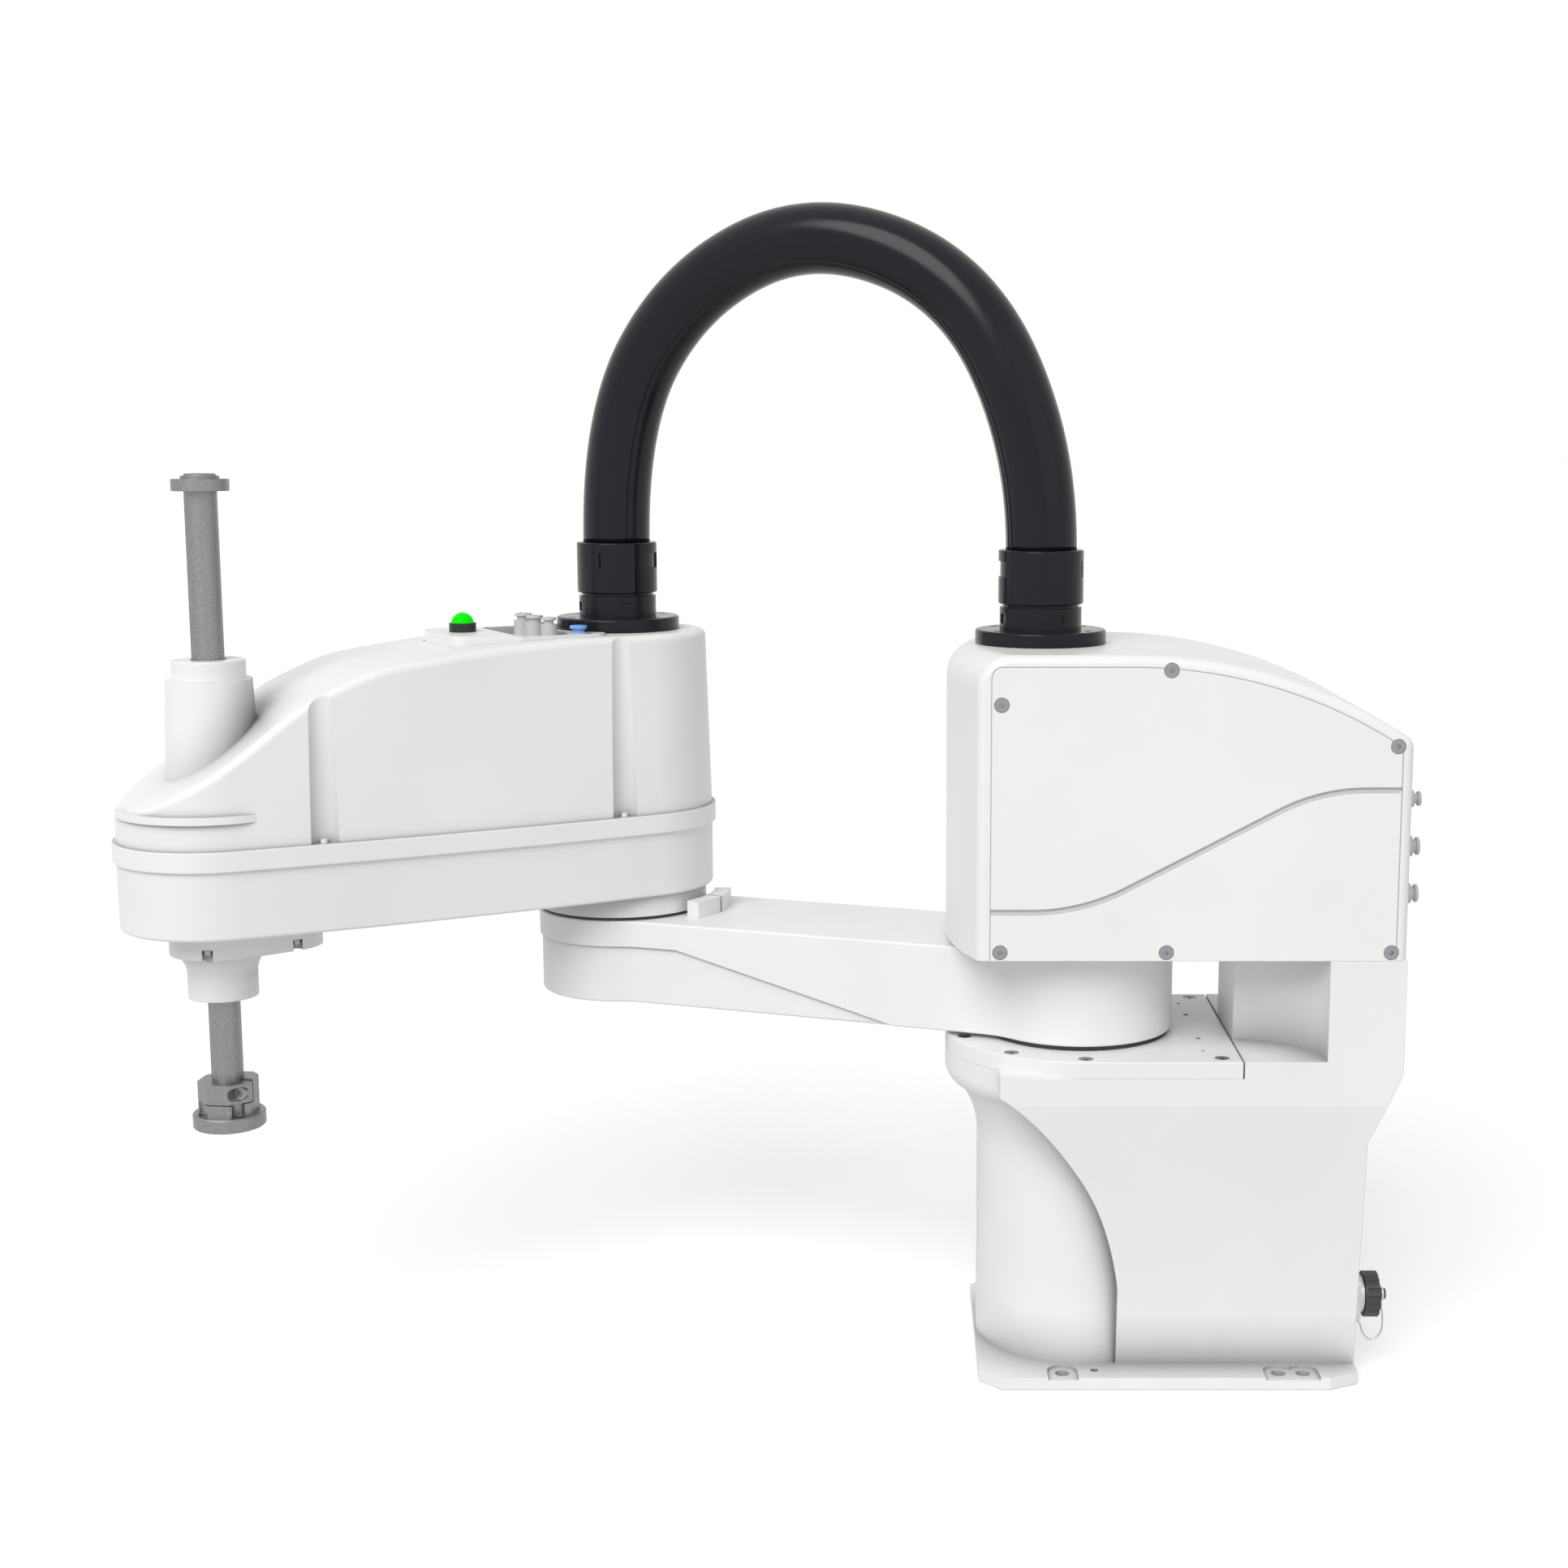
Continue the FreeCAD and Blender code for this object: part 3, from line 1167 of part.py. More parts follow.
def octagon(half, low, high, turn):
    """An eight-sided prism, with a corner at a given angle."""
    reach = half / math.cos(math.radians(22.5))
    corners = [(reach * math.cos(math.radians(turn + 45 * i)), reach * math.sin(math.radians(turn + 45 * i)))
               for i in range(8)]
    return face_of(corners, "xy").extrude(UP * (high - low)).translated(UP * low)


def jaw_sector():
    return sector(clamp_slit_turn, jaw_end_turn, clamp_turn)


def clamp_slit_block(low):
    """The clamp's slit, from the shaft out past the rim, starting at a given height."""
    slit = block(0, 2 * flange_hub_half, -clamp_slit / 2, clamp_slit / 2, low, clamp_z[1] + jaw_rise + 1)
    slit.rotate(V(0, 0, 0), UP, clamp_turn + clamp_slit_turn)
    return slit


def clamp_rod(radius, start, end):
    """A rod along the clamp screw's line, which crosses the slit. Its ends are counted from the slit."""
    turn = math.radians(clamp_turn + clamp_slit_turn)
    out = V(math.sin(turn), -math.cos(turn), 0)
    middle = V(math.cos(turn), math.sin(turn), 0) * clamp_screw_line + UP * (sum(clamp_z) / 2)
    return Part.makeCylinder(radius, end - start, middle + out * start, out)


def lower_clamp():
    """The eight-sided ring that the screw draws against the fixed jaw, round the shaft."""
    low, high = clamp_z
    ring = octagon(flange_hub_half, low, high, clamp_turn).cut(jaw_sector()).cut(clamp_slit_block(low - 1))
    ring = ring.cut(clamp_rod(clamp_screw_radius + 0.1, -20, 20)).cut(clamp_rod(clamp_head_radius + 0.2,
                                                                                clamp_screw_seat, 20))
    return ring.cut(cylinder(shaft_radius, 0, 600))


def clamp_screw():
    top = clamp_screw_seat + clamp_head_height
    screw_form = clamp_rod(clamp_screw_radius, -clamp_screw_reach, clamp_screw_seat).fuse(
        clamp_rod(clamp_head_radius, clamp_screw_seat, top)).removeSplitter()
    return screw_form.cut(clamp_rod(hex_radius * 1.3, top - 2.0, top + 1))


def tool_flange():
    """A holed disc with an eight-sided hub. The clamp's fixed jaw stands on the hub."""
    low, high = flange_z
    disc = cylinder(flange_radius, low, high)
    disc = disc.makeChamfer(0.8, [e for e in disc.Edges if e.BoundBox.ZLength < 0.1])
    hub = octagon(flange_hub_half, high, flange_hub_top, clamp_turn)
    jaw_top = clamp_z[1] + jaw_rise
    jaw = octagon(flange_hub_half, high, jaw_top, clamp_turn).common(jaw_sector())
    jaw = jaw.cut(clamp_slit_block(flange_hub_top)).cut(clamp_rod(clamp_screw_radius + 0.1, -20, 20))
    disc = disc.fuse([hub, jaw]).removeSplitter().cut(cylinder(shaft_radius, 0, 600))
    for a in (0, 90, 180, 270):
        turn = math.radians(a + flange_hole_turn)
        x, y = flange_hole_circle * math.cos(turn), flange_hole_circle * math.sin(turn)
        disc = disc.cut(cylinder(flange_hole_radius, low - 1, high + 1, x, y))
        disc = disc.cut(cylinder(flange_pocket_radius, high, flange_hub_top, x, y))
    return disc


# Cable duct: a flange and a collar at each end, and the hose between them
def duct_flange(x, y, seat):
    top = seat + duct_flange_height
    disc = cylinder(duct_flange_radius, seat, top)
    disc = disc.makeFillet(1.6, [e for e in disc.Edges if e.BoundBox.ZMin > top - 0.1])
    neck_part = cylinder(duct_neck_radius, top, top + duct_neck_height)
    waist = cylinder(duct_neck_radius - 2, top + duct_neck_height, top + duct_neck_height + duct_gap)
    body = disc.fuse([neck_part, waist]).removeSplitter().cut(cylinder(duct_radius - 3, 0, 800))
    for a in (35, 145, 215, 325):
        turn = math.radians(a)
        reach = duct_flange_radius - 7
        body = body.cut(cylinder(2.6, top - 3, top + 1, reach * math.cos(turn), reach * math.sin(turn)))
    for a in (20, 110, 200, 290):
        notch = block(duct_neck_radius - 1.2, duct_neck_radius + 2, -4, 4, top + 4, top + 10)
        notch.rotate(V(0, 0, 0), UP, a)
        body = body.cut(notch)
    body.translate(V(x, y, 0))
    return body


def duct_collar(x, y, seat, turn):
    """The collar that grips the hose, with a slit down each side, a recess beside each slit and one short mark."""
    low = seat + duct_flange_height + duct_neck_height + duct_gap
    high = low + duct_collar_height
    body = tube(duct_collar_radius, duct_radius - 3, low, high)
    body = body.makeFillet(1.2, [e for e in body.Edges if e.BoundBox.ZLength < 0.1
                                 and e.BoundBox.XLength > 2 * duct_collar_radius - 1])
    window = tube(duct_collar_radius + 1, duct_collar_radius - 1.2, low + window_band[0], low + window_band[1])
    for half_turn in (0, 180):
        slit = block(duct_collar_radius - 2.0, duct_collar_radius + 2, -0.6, 0.6, low - 1, high + 1)
        slit.rotate(V(0, 0, 0), UP, turn + half_turn)
        body = body.cut(slit)
    for start, end in ((0, window_angle), (180 - window_angle, 180), (-window_angle, mark_angle - window_angle)):
        body = body.cut(window.common(sector(start, end, turn)))
    body.translate(V(x, y, 0))
    return body


def duct_points():
    """The hose's route in the upright plane through both collars, from the second axis to the head."""
    elbow, head = V(joint2[0], joint2[1], 0), V(duct_head_x, 0, 0)
    points = [elbow + (head - elbow) * (s / duct_route[-1][0]) + UP * z for s, z in duct_route]
    points[0] = points[0] + UP * running_gap
    return points


def duct_hose():
    return bent_tube(duct_points(), duct_radius)


tether_wire = tether()
rounded_head = head_form()
rounded_head = rounded_head.makeFillet(head_edge_round, side_edges(rounded_head))


def arm1_piece(shape):
    return on_arm(shape, (0.0, 0.0), heading1)


def at_joint2(shape):
    return on_arm(shape, joint2, heading2)


def on_shaft(shape):
    return on_arm(shape, joint3, heading2)


rear_bodies = rear_fitting_pieces(fitting_body)
rear_rings = rear_fitting_pieces(fitting_ring)
top_bodies = panel_fitting_pieces(fitting_body)
top_rings = panel_fitting_pieces(fitting_ring)

nodes = {
    "base_casting": [base_casting()],
    "base_top_deck": [base_top_deck()],
    "deck_screws": deck_screws(),
    "head_housing": [head_housing()],
    "head_panel_near": [head_panel(-1)],
    "head_panel_far": [head_panel(1)],
    "head_panel_screws": head_panel_screws(),
    "rear_fitting_bodies": rear_bodies,
    "rear_ring_upper": [rear_rings[0]],
    "rear_ring_middle": [rear_rings[1]],
    "rear_ring_lower": [rear_rings[2]],
    "rear_connector": [rear_connector()],
    "connector_cap": [connector_cap()],
    "cap_tether": [tether_wire],
    "tether_ends": tether_ends(),
    "j1_motor": [j1_motor()],
    "j1_reducer_case": [j1_reducer_case()],
    "j1_rotor": [j1_rotor()],
    "j1_seal": [j1_seal()],
    "j1_output_hub": [j1_output_hub()],
    "arm1_casting": [arm1_piece(arm1_casting())],
    "arm1_stop_blocks": arm1_stop_blocks(),
    "j2_reducer_case": [at_joint2(j2_reducer_case())],
    "j2_seal": [at_joint2(j2_seal())],
    "j2_output_hub": [at_joint2(j2_output_hub())],
    "j2_rotor": [at_joint2(j2_rotor())],
    "j2_motor": [at_joint2(j2_motor())],
    "arm2_casting": [at_joint2(arm2_casting())],
    "arm2_cover": [at_joint2(arm2_cover())],
    "cover_screws": [at_joint2(s) for s in cover_screws()],
    "tower_collar": [at_joint2(tower_collar())],
    "user_panel": [at_joint2(user_panel())],
    "lamp_base": [at_joint2(lamp_base())],
    "lamp_dome": [at_joint2(lamp_dome())],
    "panel_fitting_bodies": [at_joint2(b) for b in top_bodies],
    "panel_ring_1": [at_joint2(top_rings[0])],
    "panel_ring_2": [at_joint2(top_rings[1])],
    "panel_ring_3": [at_joint2(top_rings[2])],
    "panel_ring_4": [at_joint2(top_rings[3])],
    "drive_frame": [at_joint2(drive_frame())],
    "j3_motor": [at_joint2(servo(motor3_s, upper_plate_z + frame_plate, servo3_height))],
    "j4_motor": [at_joint2(servo(motor4_s, lower_plate_z + frame_plate, servo4_height))],
    "j3_motor_pulley": [at_joint2(motor_pulley(motor3_s, upper_plate_z))],
    "j4_motor_pulley": [at_joint2(motor_pulley(motor4_s, lower_plate_z))],
    "j3_belt": [at_joint2(belt(motor3_s, upper_plate_z))],
    "j4_belt": [at_joint2(belt(motor4_s, lower_plate_z))],
    "spline_nut": [at_joint2(spline_nut())],
    "ball_screw_nut": [at_joint2(ball_screw_nut())],
    "lower_housing": [at_joint2(lower_housing())],
    "housing_screws": [at_joint2(s) for s in housing_screws()],
    "spline_shaft": [on_shaft(spline_shaft())],
    "top_stop_ring": [on_shaft(s) for s in top_stop_ring()],
    "lower_clamp": [on_shaft(lower_clamp())],
    "clamp_screw": [on_shaft(clamp_screw())],
    "tool_flange": [on_shaft(tool_flange())],
    "duct_flange_head": [duct_flange(duct_head_x, 0.0, head_top)],
    "duct_collar_head": [duct_collar(duct_head_x, 0.0, head_top, duct_turns[0])],
    "duct_flange_arm": [duct_flange(*joint2, cover_top)],
    "duct_collar_arm": [duct_collar(*joint2, cover_top, duct_turns[1])],
    "duct_hose": [duct_hose()],
}

os.makedirs("parts", exist_ok=True)
for name, solids in nodes.items():
    pieces = [s for shape in solids for s in shape.Solids]
    whole = pieces[0] if len(pieces) == 1 else Part.makeCompound(pieces)
    whole.exportStep(os.path.join("parts", name + ".step"))
print(len(nodes), "nodes")
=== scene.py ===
import bpy
import bmesh
import json
import math
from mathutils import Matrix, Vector


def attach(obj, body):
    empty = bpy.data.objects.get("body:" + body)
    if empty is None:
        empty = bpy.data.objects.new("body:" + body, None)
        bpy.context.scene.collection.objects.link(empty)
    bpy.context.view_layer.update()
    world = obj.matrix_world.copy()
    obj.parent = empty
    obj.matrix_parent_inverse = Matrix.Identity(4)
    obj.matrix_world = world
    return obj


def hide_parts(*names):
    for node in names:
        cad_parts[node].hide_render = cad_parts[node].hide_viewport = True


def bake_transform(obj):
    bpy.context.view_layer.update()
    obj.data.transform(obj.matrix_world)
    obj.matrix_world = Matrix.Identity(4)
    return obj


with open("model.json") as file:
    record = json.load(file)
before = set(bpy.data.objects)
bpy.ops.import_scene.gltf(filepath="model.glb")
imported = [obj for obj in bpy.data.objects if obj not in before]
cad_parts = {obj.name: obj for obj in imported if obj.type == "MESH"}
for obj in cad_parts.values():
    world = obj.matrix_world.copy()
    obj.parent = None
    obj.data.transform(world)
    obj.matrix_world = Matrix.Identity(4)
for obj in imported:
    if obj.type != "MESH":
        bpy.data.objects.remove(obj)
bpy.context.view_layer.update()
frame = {"nodes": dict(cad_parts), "record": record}
scene = bpy.context.scene

# Camera: the photograph's place, angle and lens, worked out from the object's own sizes
camera_data = bpy.data.cameras.new("photo_camera")
camera_data.sensor_width = 36.0
camera_data.lens = 50.85
camera_data.shift_x = -0.0647
camera_data.clip_start = 0.05
camera = bpy.data.objects.new("photo_camera", camera_data)
camera.location = (-0.1241, -1.4048, 0.5923)
camera.rotation_euler = (math.radians(81.13), 0.0, 0.0)
scene.collection.objects.link(camera)
scene.camera = camera

# Where the second joint is, in metres
ARM1_LENGTH = 0.325
ARM1_HEADING = math.radians(180.0 - 19.3)
JOINT2 = Vector((math.cos(ARM1_HEADING), math.sin(ARM1_HEADING), 0.0)) * ARM1_LENGTH

# How fine the materials' noises are, in cycles per metre
DRIFT_SCALE = 9.0
SHEEN_SCALE = 60.0
SPECKLE_SCALE = 2600.0
GLOW_SCALE = 400.0
FLOOR_SCALE = 3.0


# Materials. Each one starts as a named Principled shader
def shader(name, colour, roughness, metallic=0.0):
    material = bpy.data.materials.new(name)
    material.use_nodes = True
    nodes = material.node_tree.nodes
    principled = nodes["Principled BSDF"]
    principled.inputs["Base Color"].default_value = (*colour, 1.0)
    principled.inputs["Roughness"].default_value = roughness
    principled.inputs["Metallic"].default_value = metallic
    return material, principled


def add(material, kind, **properties):
    """Adds a node and sets its properties."""
    node = material.node_tree.nodes.new(kind)
    for key, value in properties.items():
        setattr(node, key, value)
    return node


def join(material, source, target):
    material.node_tree.links.new(source, target)


def noise(material, scale, detail=3.0, stretch=None):
    """Noise in the object's own metres, stretched along an axis if asked."""
    place = add(material, "ShaderNodeTexCoord")
    vector = place.outputs["Object"]
    if stretch:
        mapping = add(material, "ShaderNodeMapping")
        mapping.inputs["Scale"].default_value = stretch
        join(material, vector, mapping.inputs["Vector"])
        vector = mapping.outputs["Vector"]
    node = add(material, "ShaderNodeTexNoise")
    node.inputs["Scale"].default_value = scale
    node.inputs["Detail"].default_value = detail
    join(material, vector, node.inputs["Vector"])
    return node.outputs["Fac"]


def ramp(material, source, low, high, start=0.35, end=0.65):
    """Maps a value onto two colours between two positions."""
    node = add(material, "ShaderNodeValToRGB")
    node.color_ramp.elements[0].position = start
    node.color_ramp.elements[1].position = end
    node.color_ramp.elements[0].color = (*low, 1.0)
    node.color_ramp.elements[1].color = (*high, 1.0)
    join(material, source, node.inputs["Fac"])
    return node.outputs["Color"]


def spread(material, source, low, high):
    """Maps a value from 0..1 onto a range."""
    node = add(material, "ShaderNodeMapRange")
    node.inputs["To Min"].default_value = low
    node.inputs["To Max"].default_value = high
    join(material, source, node.inputs["Value"])
    return node.outputs["Result"]


def bump(material, principled, source, strength, distance, edge=0.0):
    """Fine relief, over edges softened by a small radius."""
    node = add(material, "ShaderNodeBump")
    node.inputs["Strength"].default_value = strength
    node.inputs["Distance"].default_value = distance
    join(material, source, node.inputs["Height"])
    if edge:
        rounded = add(material, "ShaderNodeBevel", samples=4)
        rounded.inputs["Radius"].default_value = edge
        join(material, rounded.outputs["Normal"], node.inputs["Normal"])
    join(material, node.outputs["Normal"], principled.inputs["Normal"])


def shaded_hollows(material, colour, reach):
    """Painted shade: darkens a piece's own grooves and inner corners, where less light reaches, with an ambient
    occlusion node that sees only the piece itself.
    """
    node = add(material, "ShaderNodeAmbientOcclusion", samples=8, only_local=True)
    node.inputs["Distance"].default_value = reach
    join(material, colour, node.inputs["Color"])
    return node.outputs["Color"]


def tint(colour, factor):
    return tuple(min(1.0, c * factor) for c in colour)


def coated(name, colour, roughness, grain, relief, edge, drift=0.02, specular=0.5, hollow_shade_reach=0.0):
    """Paint or moulded plastic: a faint drift of tone, a fine skin, softened edges, and painted shade in its own
    hollows when a reach is given.

    The skin's grain is in cycles per metre. Its relief, the edges' radius and the hollow shade's reach are in
    metres.
    """
    material, principled = shader(name, colour, roughness)
    tone = ramp(material, noise(material, DRIFT_SCALE), tint(colour, 1.0 - drift), tint(colour, 1.0 + drift))
    # Painted shade: an ambient occlusion node darkens the colour in the piece's own hollows
    if hollow_shade_reach:
        tone = shaded_hollows(material, tone, hollow_shade_reach)
    join(material, tone, principled.inputs["Base Color"])
    sheen = spread(material, noise(material, SHEEN_SCALE), roughness - 0.05, roughness + 0.05)
    join(material, sheen, principled.inputs["Roughness"])
    principled.inputs["Specular IOR Level"].default_value = specular
    bump(material, principled, noise(material, grain, 2.0), 0.35, relief, edge)
    return material


def ground_metal(name, colour, roughness, stretch, edge):
    """Bare metal: speckled, with a grain that a stretch draws out along the piece."""
    material, principled = shader(name, colour, roughness, 1.0)
    speckle = noise(material, SPECKLE_SCALE, 4.0, stretch)
    tone = ramp(material, speckle, tint(colour, 0.72), tint(colour, 1.3), 0.3, 0.7)
    join(material, tone, principled.inputs["Base Color"])
    sheen = spread(material, speckle, roughness - 0.1, roughness + 0.12)
    join(material, sheen, principled.inputs["Roughness"])
    bump(material, principled, speckle, 0.25, 0.00003, edge)
    return material


materials = {
    # The white paint and white shell carry painted shade in their own hollows, out to 35 mm
    "white_paint": coated("white_paint", (0.82, 0.82, 0.815), 0.42, 900.0, 0.00002, 0.0008, hollow_shade_reach=0.035),
    "white_shell": coated("white_shell", (0.84, 0.84, 0.835), 0.38, 1400.0, 0.000015, 0.0008, hollow_shade_reach=0.035),
    "duct_black": coated("duct_black", (0.011, 0.009, 0.014), 0.20, 700.0, 0.00001, 0.0004, 0.1, 0.2),
    "shaft_steel": ground_metal("shaft_steel", (0.27, 0.27, 0.265), 0.42, (1.0, 1.0, 0.35), 0.0003),
    "drive_steel": ground_metal("drive_steel", (0.50, 0.50, 0.50), 0.38, (1.0, 1.0, 0.2), 0.0003),
    "screw_zinc": ground_metal("screw_zinc", (0.30, 0.31, 0.315), 0.36, (1.0, 1.0, 1.0), 0.0002),
    "seal_rubber": coated("seal_rubber", (0.030, 0.030, 0.031), 0.6, 500.0, 0.00003, 0.0002),
    "motor_black": coated("motor_black", (0.045, 0.045, 0.050), 0.45, 900.0, 0.00002, 0.0004),
    "frame_aluminium": ground_metal("frame_aluminium", (0.66, 0.67, 0.68), 0.4, (1.0, 1.0, 1.0), 0.0003),
    "fitting_grey": coated("fitting_grey", (0.56, 0.57, 0.565), 0.40, 1500.0, 0.00001, 0.0003),
    "fitting_blue": coated("fitting_blue", (0.155, 0.375, 0.82), 0.35, 1500.0, 0.00001, 0.0003),
    "lamp_ring": coated("lamp_ring", (0.008, 0.008, 0.008), 0.40, 1200.0, 0.00001, 0.0003),
    "connector_metal": ground_metal("connector_metal", (0.55, 0.56, 0.56), 0.35, (1.0, 1.0, 1.0), 0.0003),
    "cap_black": coated("cap_black", (0.035, 0.035, 0.038), 0.45, 1200.0, 0.00002, 0.0003),
    "tether_steel": ground_metal("tether_steel", (0.50, 0.50, 0.50), 0.35, (1.0, 1.0, 1.0), 0.0),
}


def lamp_plastic():
    """Clear green plastic over a lit lamp."""
    colour = (0.0, 0.46, 0.0)
    material, principled = shader("lamp_green", colour, 0.35)
    tone = ramp(material, noise(material, GLOW_SCALE), tint(colour, 0.9), tint(colour, 1.1))
    join(material, tone, principled.inputs["Base Color"])
    principled.inputs["Emission Color"].default_value = (0.0, 1.0, 0.0, 1.0)
    principled.inputs["Emission Strength"].default_value = 0.42
    principled.inputs["Specular IOR Level"].default_value = 0.08
    return material


materials["lamp_green"] = lamp_plastic()

slots = {row["node"]: row["material_slot"] for row in frame["record"]["subparts"]}
for name, obj in frame["nodes"].items():
    obj.data.materials.clear()
    obj.data.materials.append(materials[slots[name]])


# Cords: the hose and the cap's tether follow the model's own routes, as smooth splines.
# The hose's route is in (distance from the second joint towards the head, height) pairs
HOSE_DIAMETER = 0.045
HOSE_SIDES = 72
HOSE_STEPS = 24
HOSE_HEAD = Vector((-0.0257, 0.0, 0.0))
HOSE_ROUTE = ((0.0, 0.5225), (0.0, 0.604), (0.054, 0.690), (0.146, 0.729), (0.250, 0.690), (0.3008, 0.585),
              (0.3008, 0.5225))
HOSE_SPAN = HOSE_ROUTE[-1][0]
SEAM_WIDTH = 0.0022
SEAM_DEPTH = 0.0016
SEAM_TURN = math.radians(43.0)
SEAM_LIP = 1.6
SEAM_CLEAR = 2.5


def spline_points(name, route, steps):
    """The line of a smooth spline with these control points, as an open run of points."""
    curve = bpy.data.curves.new(name + "_line", "CURVE")
    curve.dimensions = "3D"
    spline = curve.splines.new("NURBS")
    spline.points.add(len(route) - 1)
    for point, place in zip(spline.points, route):
        point.co = (*place, 1.0)
    spline.order_u = 3
    spline.use_endpoint_u = True
    spline.resolution_u = steps
    holder = bpy.data.objects.new(name + "_line", curve)
    mesh = bpy.data.meshes.new_from_object(holder)
    points = [v.co.copy() for v in mesh.vertices]
    bpy.data.objects.remove(holder)
    bpy.data.meshes.remove(mesh)
    return points


def tube_mesh(name, points, outline, up):
    """A tube whose section is an outline of (across, up) pairs, swept along points with a steady up side."""
    mesh = bmesh.new()
    rings = []
    for i, centre in enumerate(points):
        before, after = points[max(i - 1, 0)], points[min(i + 1, len(points) - 1)]
        ahead = (after - before).normalized()
        across = ahead.cross(up).normalized()
        over = across.cross(ahead).normalized()
        rings.append([mesh.verts.new(centre + across * a + over * b) for a, b in outline])
    count = len(outline)
    for ring, following in zip(rings, rings[1:]):
        for i in range(count):
            j = (i + 1) % count
            mesh.faces.new((ring[i], ring[j], following[j], following[i]))
    mesh.faces.new(rings[0])
    mesh.faces.new(list(reversed(rings[-1])))
    bmesh.ops.recalc_face_normals(mesh, faces=mesh.faces)
    data = bpy.data.meshes.new(name)
    mesh.to_mesh(data)
    mesh.free()
    for face in data.polygons:
        face.use_smooth = len(face.vertices) == 4
    obj = bpy.data.objects.new(name, data)
    scene.collection.objects.link(obj)
    return obj


def seamed_circle(radius):
    """A circle with a narrow groove where the hose's slit closes, turned from the lowest point to the near side."""
    full = 2 * math.pi
    half = SEAM_WIDTH / 2 / radius
    seam = SEAM_TURN - math.pi / 2
    turns = [full * i / HOSE_SIDES for i in range(HOSE_SIDES)]
    round_part = [(t, radius) for t in turns if abs((t - seam + math.pi) % full - math.pi) > SEAM_CLEAR * half]
    lips = [(seam + k * half, radius) for k in (-SEAM_LIP, -1.0, 1.0, SEAM_LIP)]
    bottom = [(seam + k * half, radius - SEAM_DEPTH) for k in (-0.5, 0.5)]
    outline = [(r * math.cos(t), r * math.sin(t)) for t, r in round_part + lips + bottom]
    return sorted(outline, key=lambda p: (math.atan2(p[1], p[0]) - seam) % full)


def hose():
    elbow = JOINT2
    route = [elbow + (HOSE_HEAD - elbow) * (s / HOSE_SPAN) + Vector((0.0, 0.0, z)) for s, z in HOSE_ROUTE]
    route.reverse()
    points = spline_points("duct_hose", route, HOSE_STEPS)
    sideways = (HOSE_HEAD - elbow).cross(Vector((0.0, 0.0, 1.0))).normalized()
    obj = tube_mesh("hose_tube", points, [(b, a) for a, b in seamed_circle(HOSE_DIAMETER / 2)], sideways)
    obj.data.materials.append(materials["duct_black"])
    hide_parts("duct_hose")
    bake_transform(obj)


TETHER_DIAMETER = 0.001
TETHER_SIDES = 12
TETHER_STEPS = 10
TETHER_ROUTE = ((0.1780, 0.0320), (0.1815, 0.0305), (0.1830, 0.0230), (0.1875, 0.0175), (0.1925, 0.0185),
                (0.1964, 0.0250), (0.1959, 0.0360), (0.1949, 0.0400), (0.1949, 0.0446))
TETHER_Y = -0.048


def tether():
    route = [Vector((x, TETHER_Y, z)) for x, z in TETHER_ROUTE]
    points = spline_points("cap_tether", route, TETHER_STEPS)
    radius = TETHER_DIAMETER / 2
    turns = [2 * math.pi * i / TETHER_SIDES for i in range(TETHER_SIDES)]
    circle = [(radius * math.cos(t), radius * math.sin(t)) for t in turns]
    obj = tube_mesh("tether_wire", points, circle, Vector((0.0, 1.0, 0.0)))
    obj.data.materials.append(materials["tether_steel"])
    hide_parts("cap_tether")
    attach(obj, "base_body")


hose()
tether()


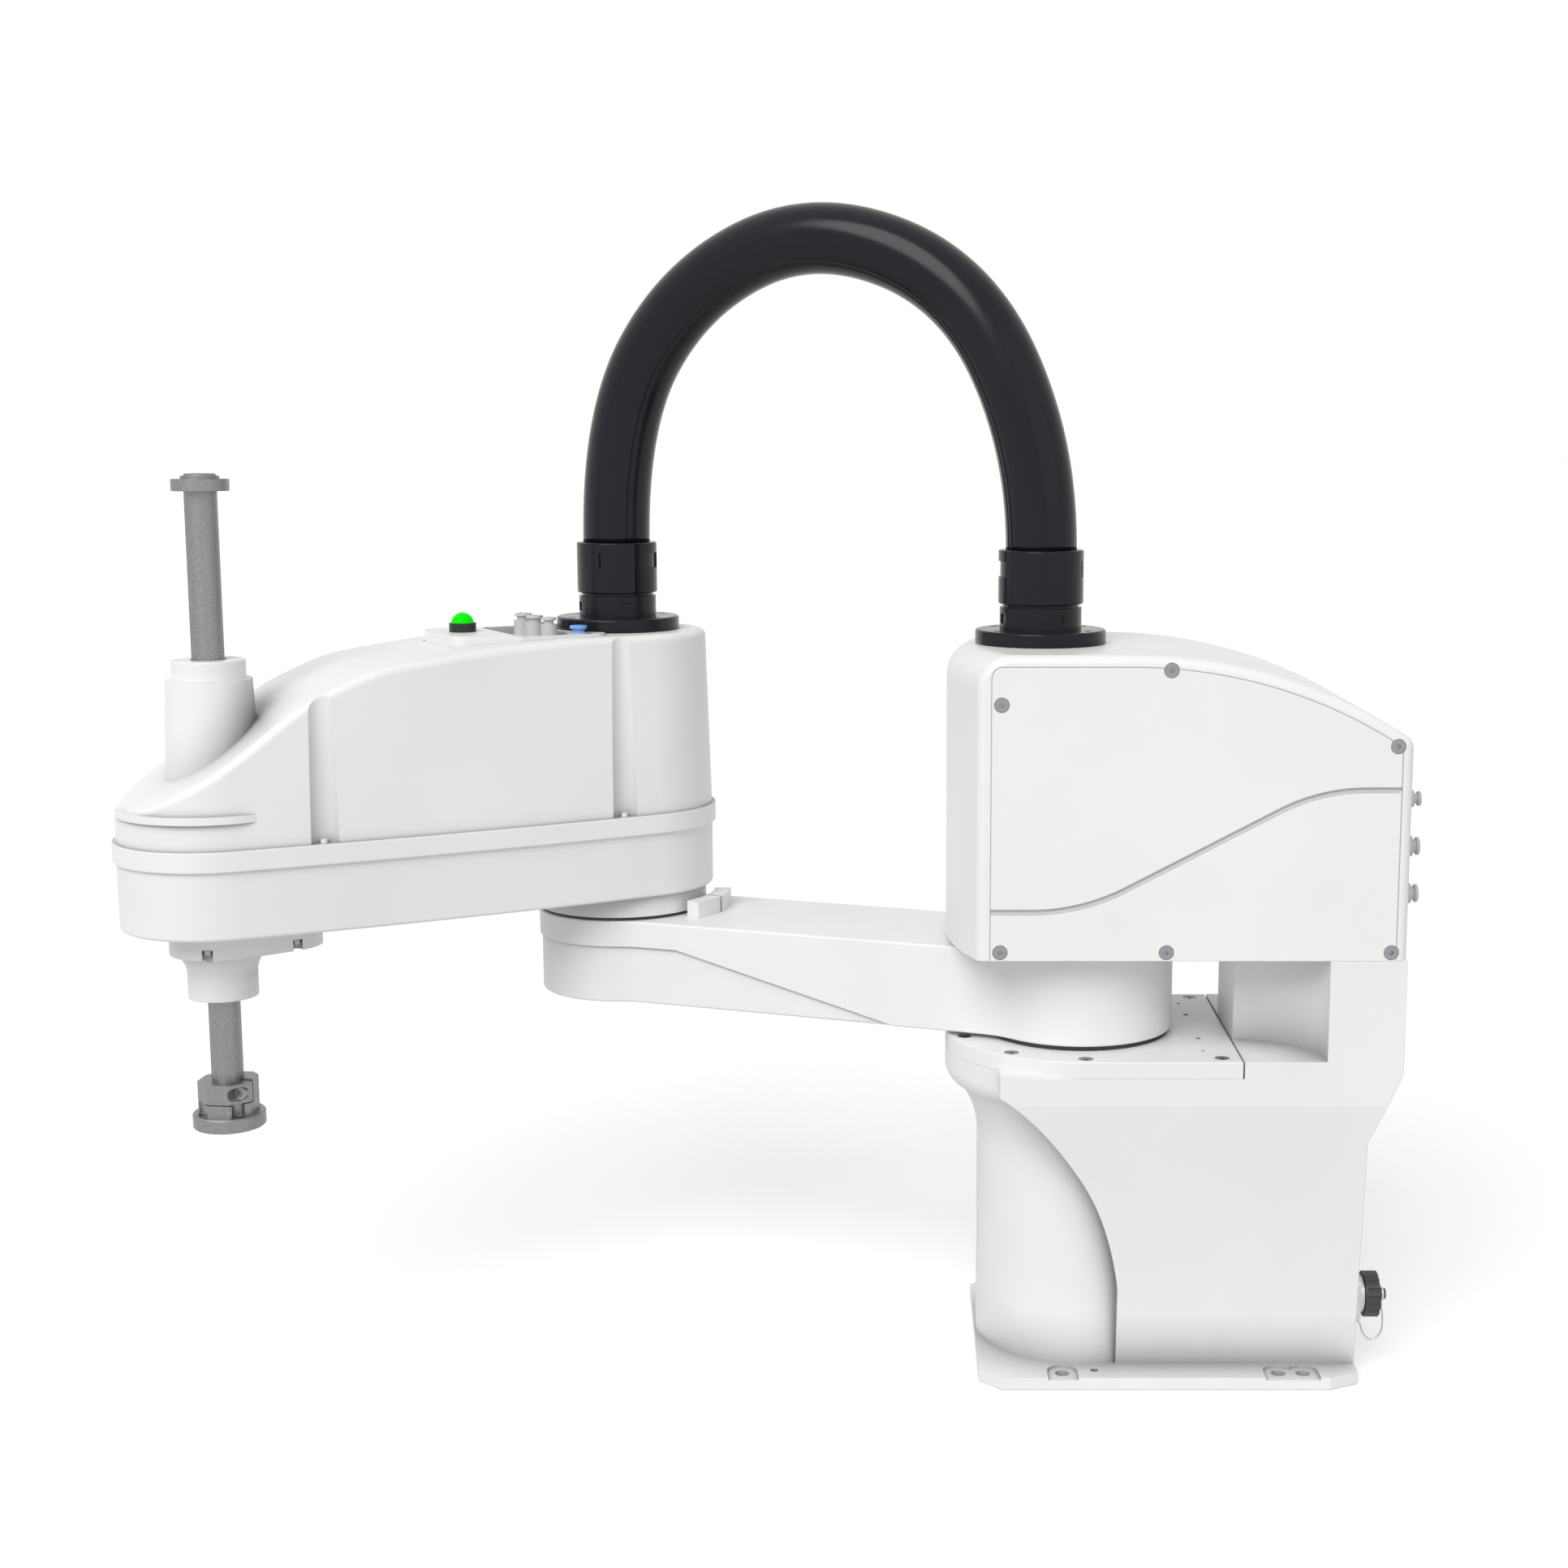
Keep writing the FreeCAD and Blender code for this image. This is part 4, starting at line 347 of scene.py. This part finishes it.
# Studio: a wide pale floor, an even sky and broad soft lamps
def shows_white(tree, low, high):
    """A strength that is high for what the camera or a reflection sees, and low for the light."""
    path = tree.nodes.new("ShaderNodeLightPath")
    seen = tree.nodes.new("ShaderNodeMath")
    seen.operation = "MAXIMUM"
    level = tree.nodes.new("ShaderNodeMapRange")
    level.inputs["To Min"].default_value = low
    level.inputs["To Max"].default_value = high
    tree.links.new(path.outputs["Is Camera Ray"], seen.inputs[0])
    tree.links.new(path.outputs["Is Glossy Ray"], seen.inputs[1])
    tree.links.new(seen.outputs["Value"], level.inputs["Value"])
    return level.outputs["Result"]


SKY_LIGHT = 0.50
FLOOR_SHADE = 0.62
FLOOR_LIFT = 0.48
FLOOR_HALF = 30.0
FLOOR_DROP = 0.0004


def floor_material():
    shade = (FLOOR_SHADE, FLOOR_SHADE, FLOOR_SHADE)
    material, principled = shader("studio_floor", shade, 0.8)
    tone = ramp(material, noise(material, FLOOR_SCALE), tint(shade, 0.99), tint(shade, 1.01))
    join(material, tone, principled.inputs["Base Color"])
    principled.inputs["Specular IOR Level"].default_value = 0.1
    principled.inputs["Emission Color"].default_value = (1.0, 1.0, 1.0, 1.0)
    join(material, shows_white(material.node_tree, 0.0, FLOOR_LIFT), principled.inputs["Emission Strength"])
    return material


floor_mesh = bpy.data.meshes.new("studio_floor")
corners = [(-FLOOR_HALF, -FLOOR_HALF, 0), (FLOOR_HALF, -FLOOR_HALF, 0), (FLOOR_HALF, FLOOR_HALF, 0),
           (-FLOOR_HALF, FLOOR_HALF, 0)]
floor_mesh.from_pydata(corners, [], [(0, 1, 2, 3)])
floor = bpy.data.objects.new("studio_floor", floor_mesh)
floor.location.z = -FLOOR_DROP
floor.data.materials.append(floor_material())
scene.collection.objects.link(floor)

world = bpy.data.worlds.new("studio")
world.use_nodes = True
scene.world = world
background = world.node_tree.nodes["Background"]
background.inputs["Color"].default_value = (1.0, 1.0, 1.0, 1.0)
world.node_tree.links.new(shows_white(world.node_tree, SKY_LIGHT, 1.0), background.inputs["Strength"])


def lamp(name, azimuth, elevation, level, softness):
    """A far, broad lamp, in degrees. A level of 1 lights a surface that faces it as brightly as its colour."""
    data = bpy.data.lights.new(name, "SUN")
    data.energy = level * math.pi
    data.angle = math.radians(softness)
    obj = bpy.data.objects.new(name, data)
    obj.rotation_euler = (math.radians(90.0 - elevation), 0.0, math.radians(azimuth))
    scene.collection.objects.link(obj)


lamp("key_lamp", -24.0, 42.0, 0.64, 40.0)
lamp("fill_lamp", 40.0, 15.0, 0.05, 50.0)

scene.view_settings.view_transform = "Standard"
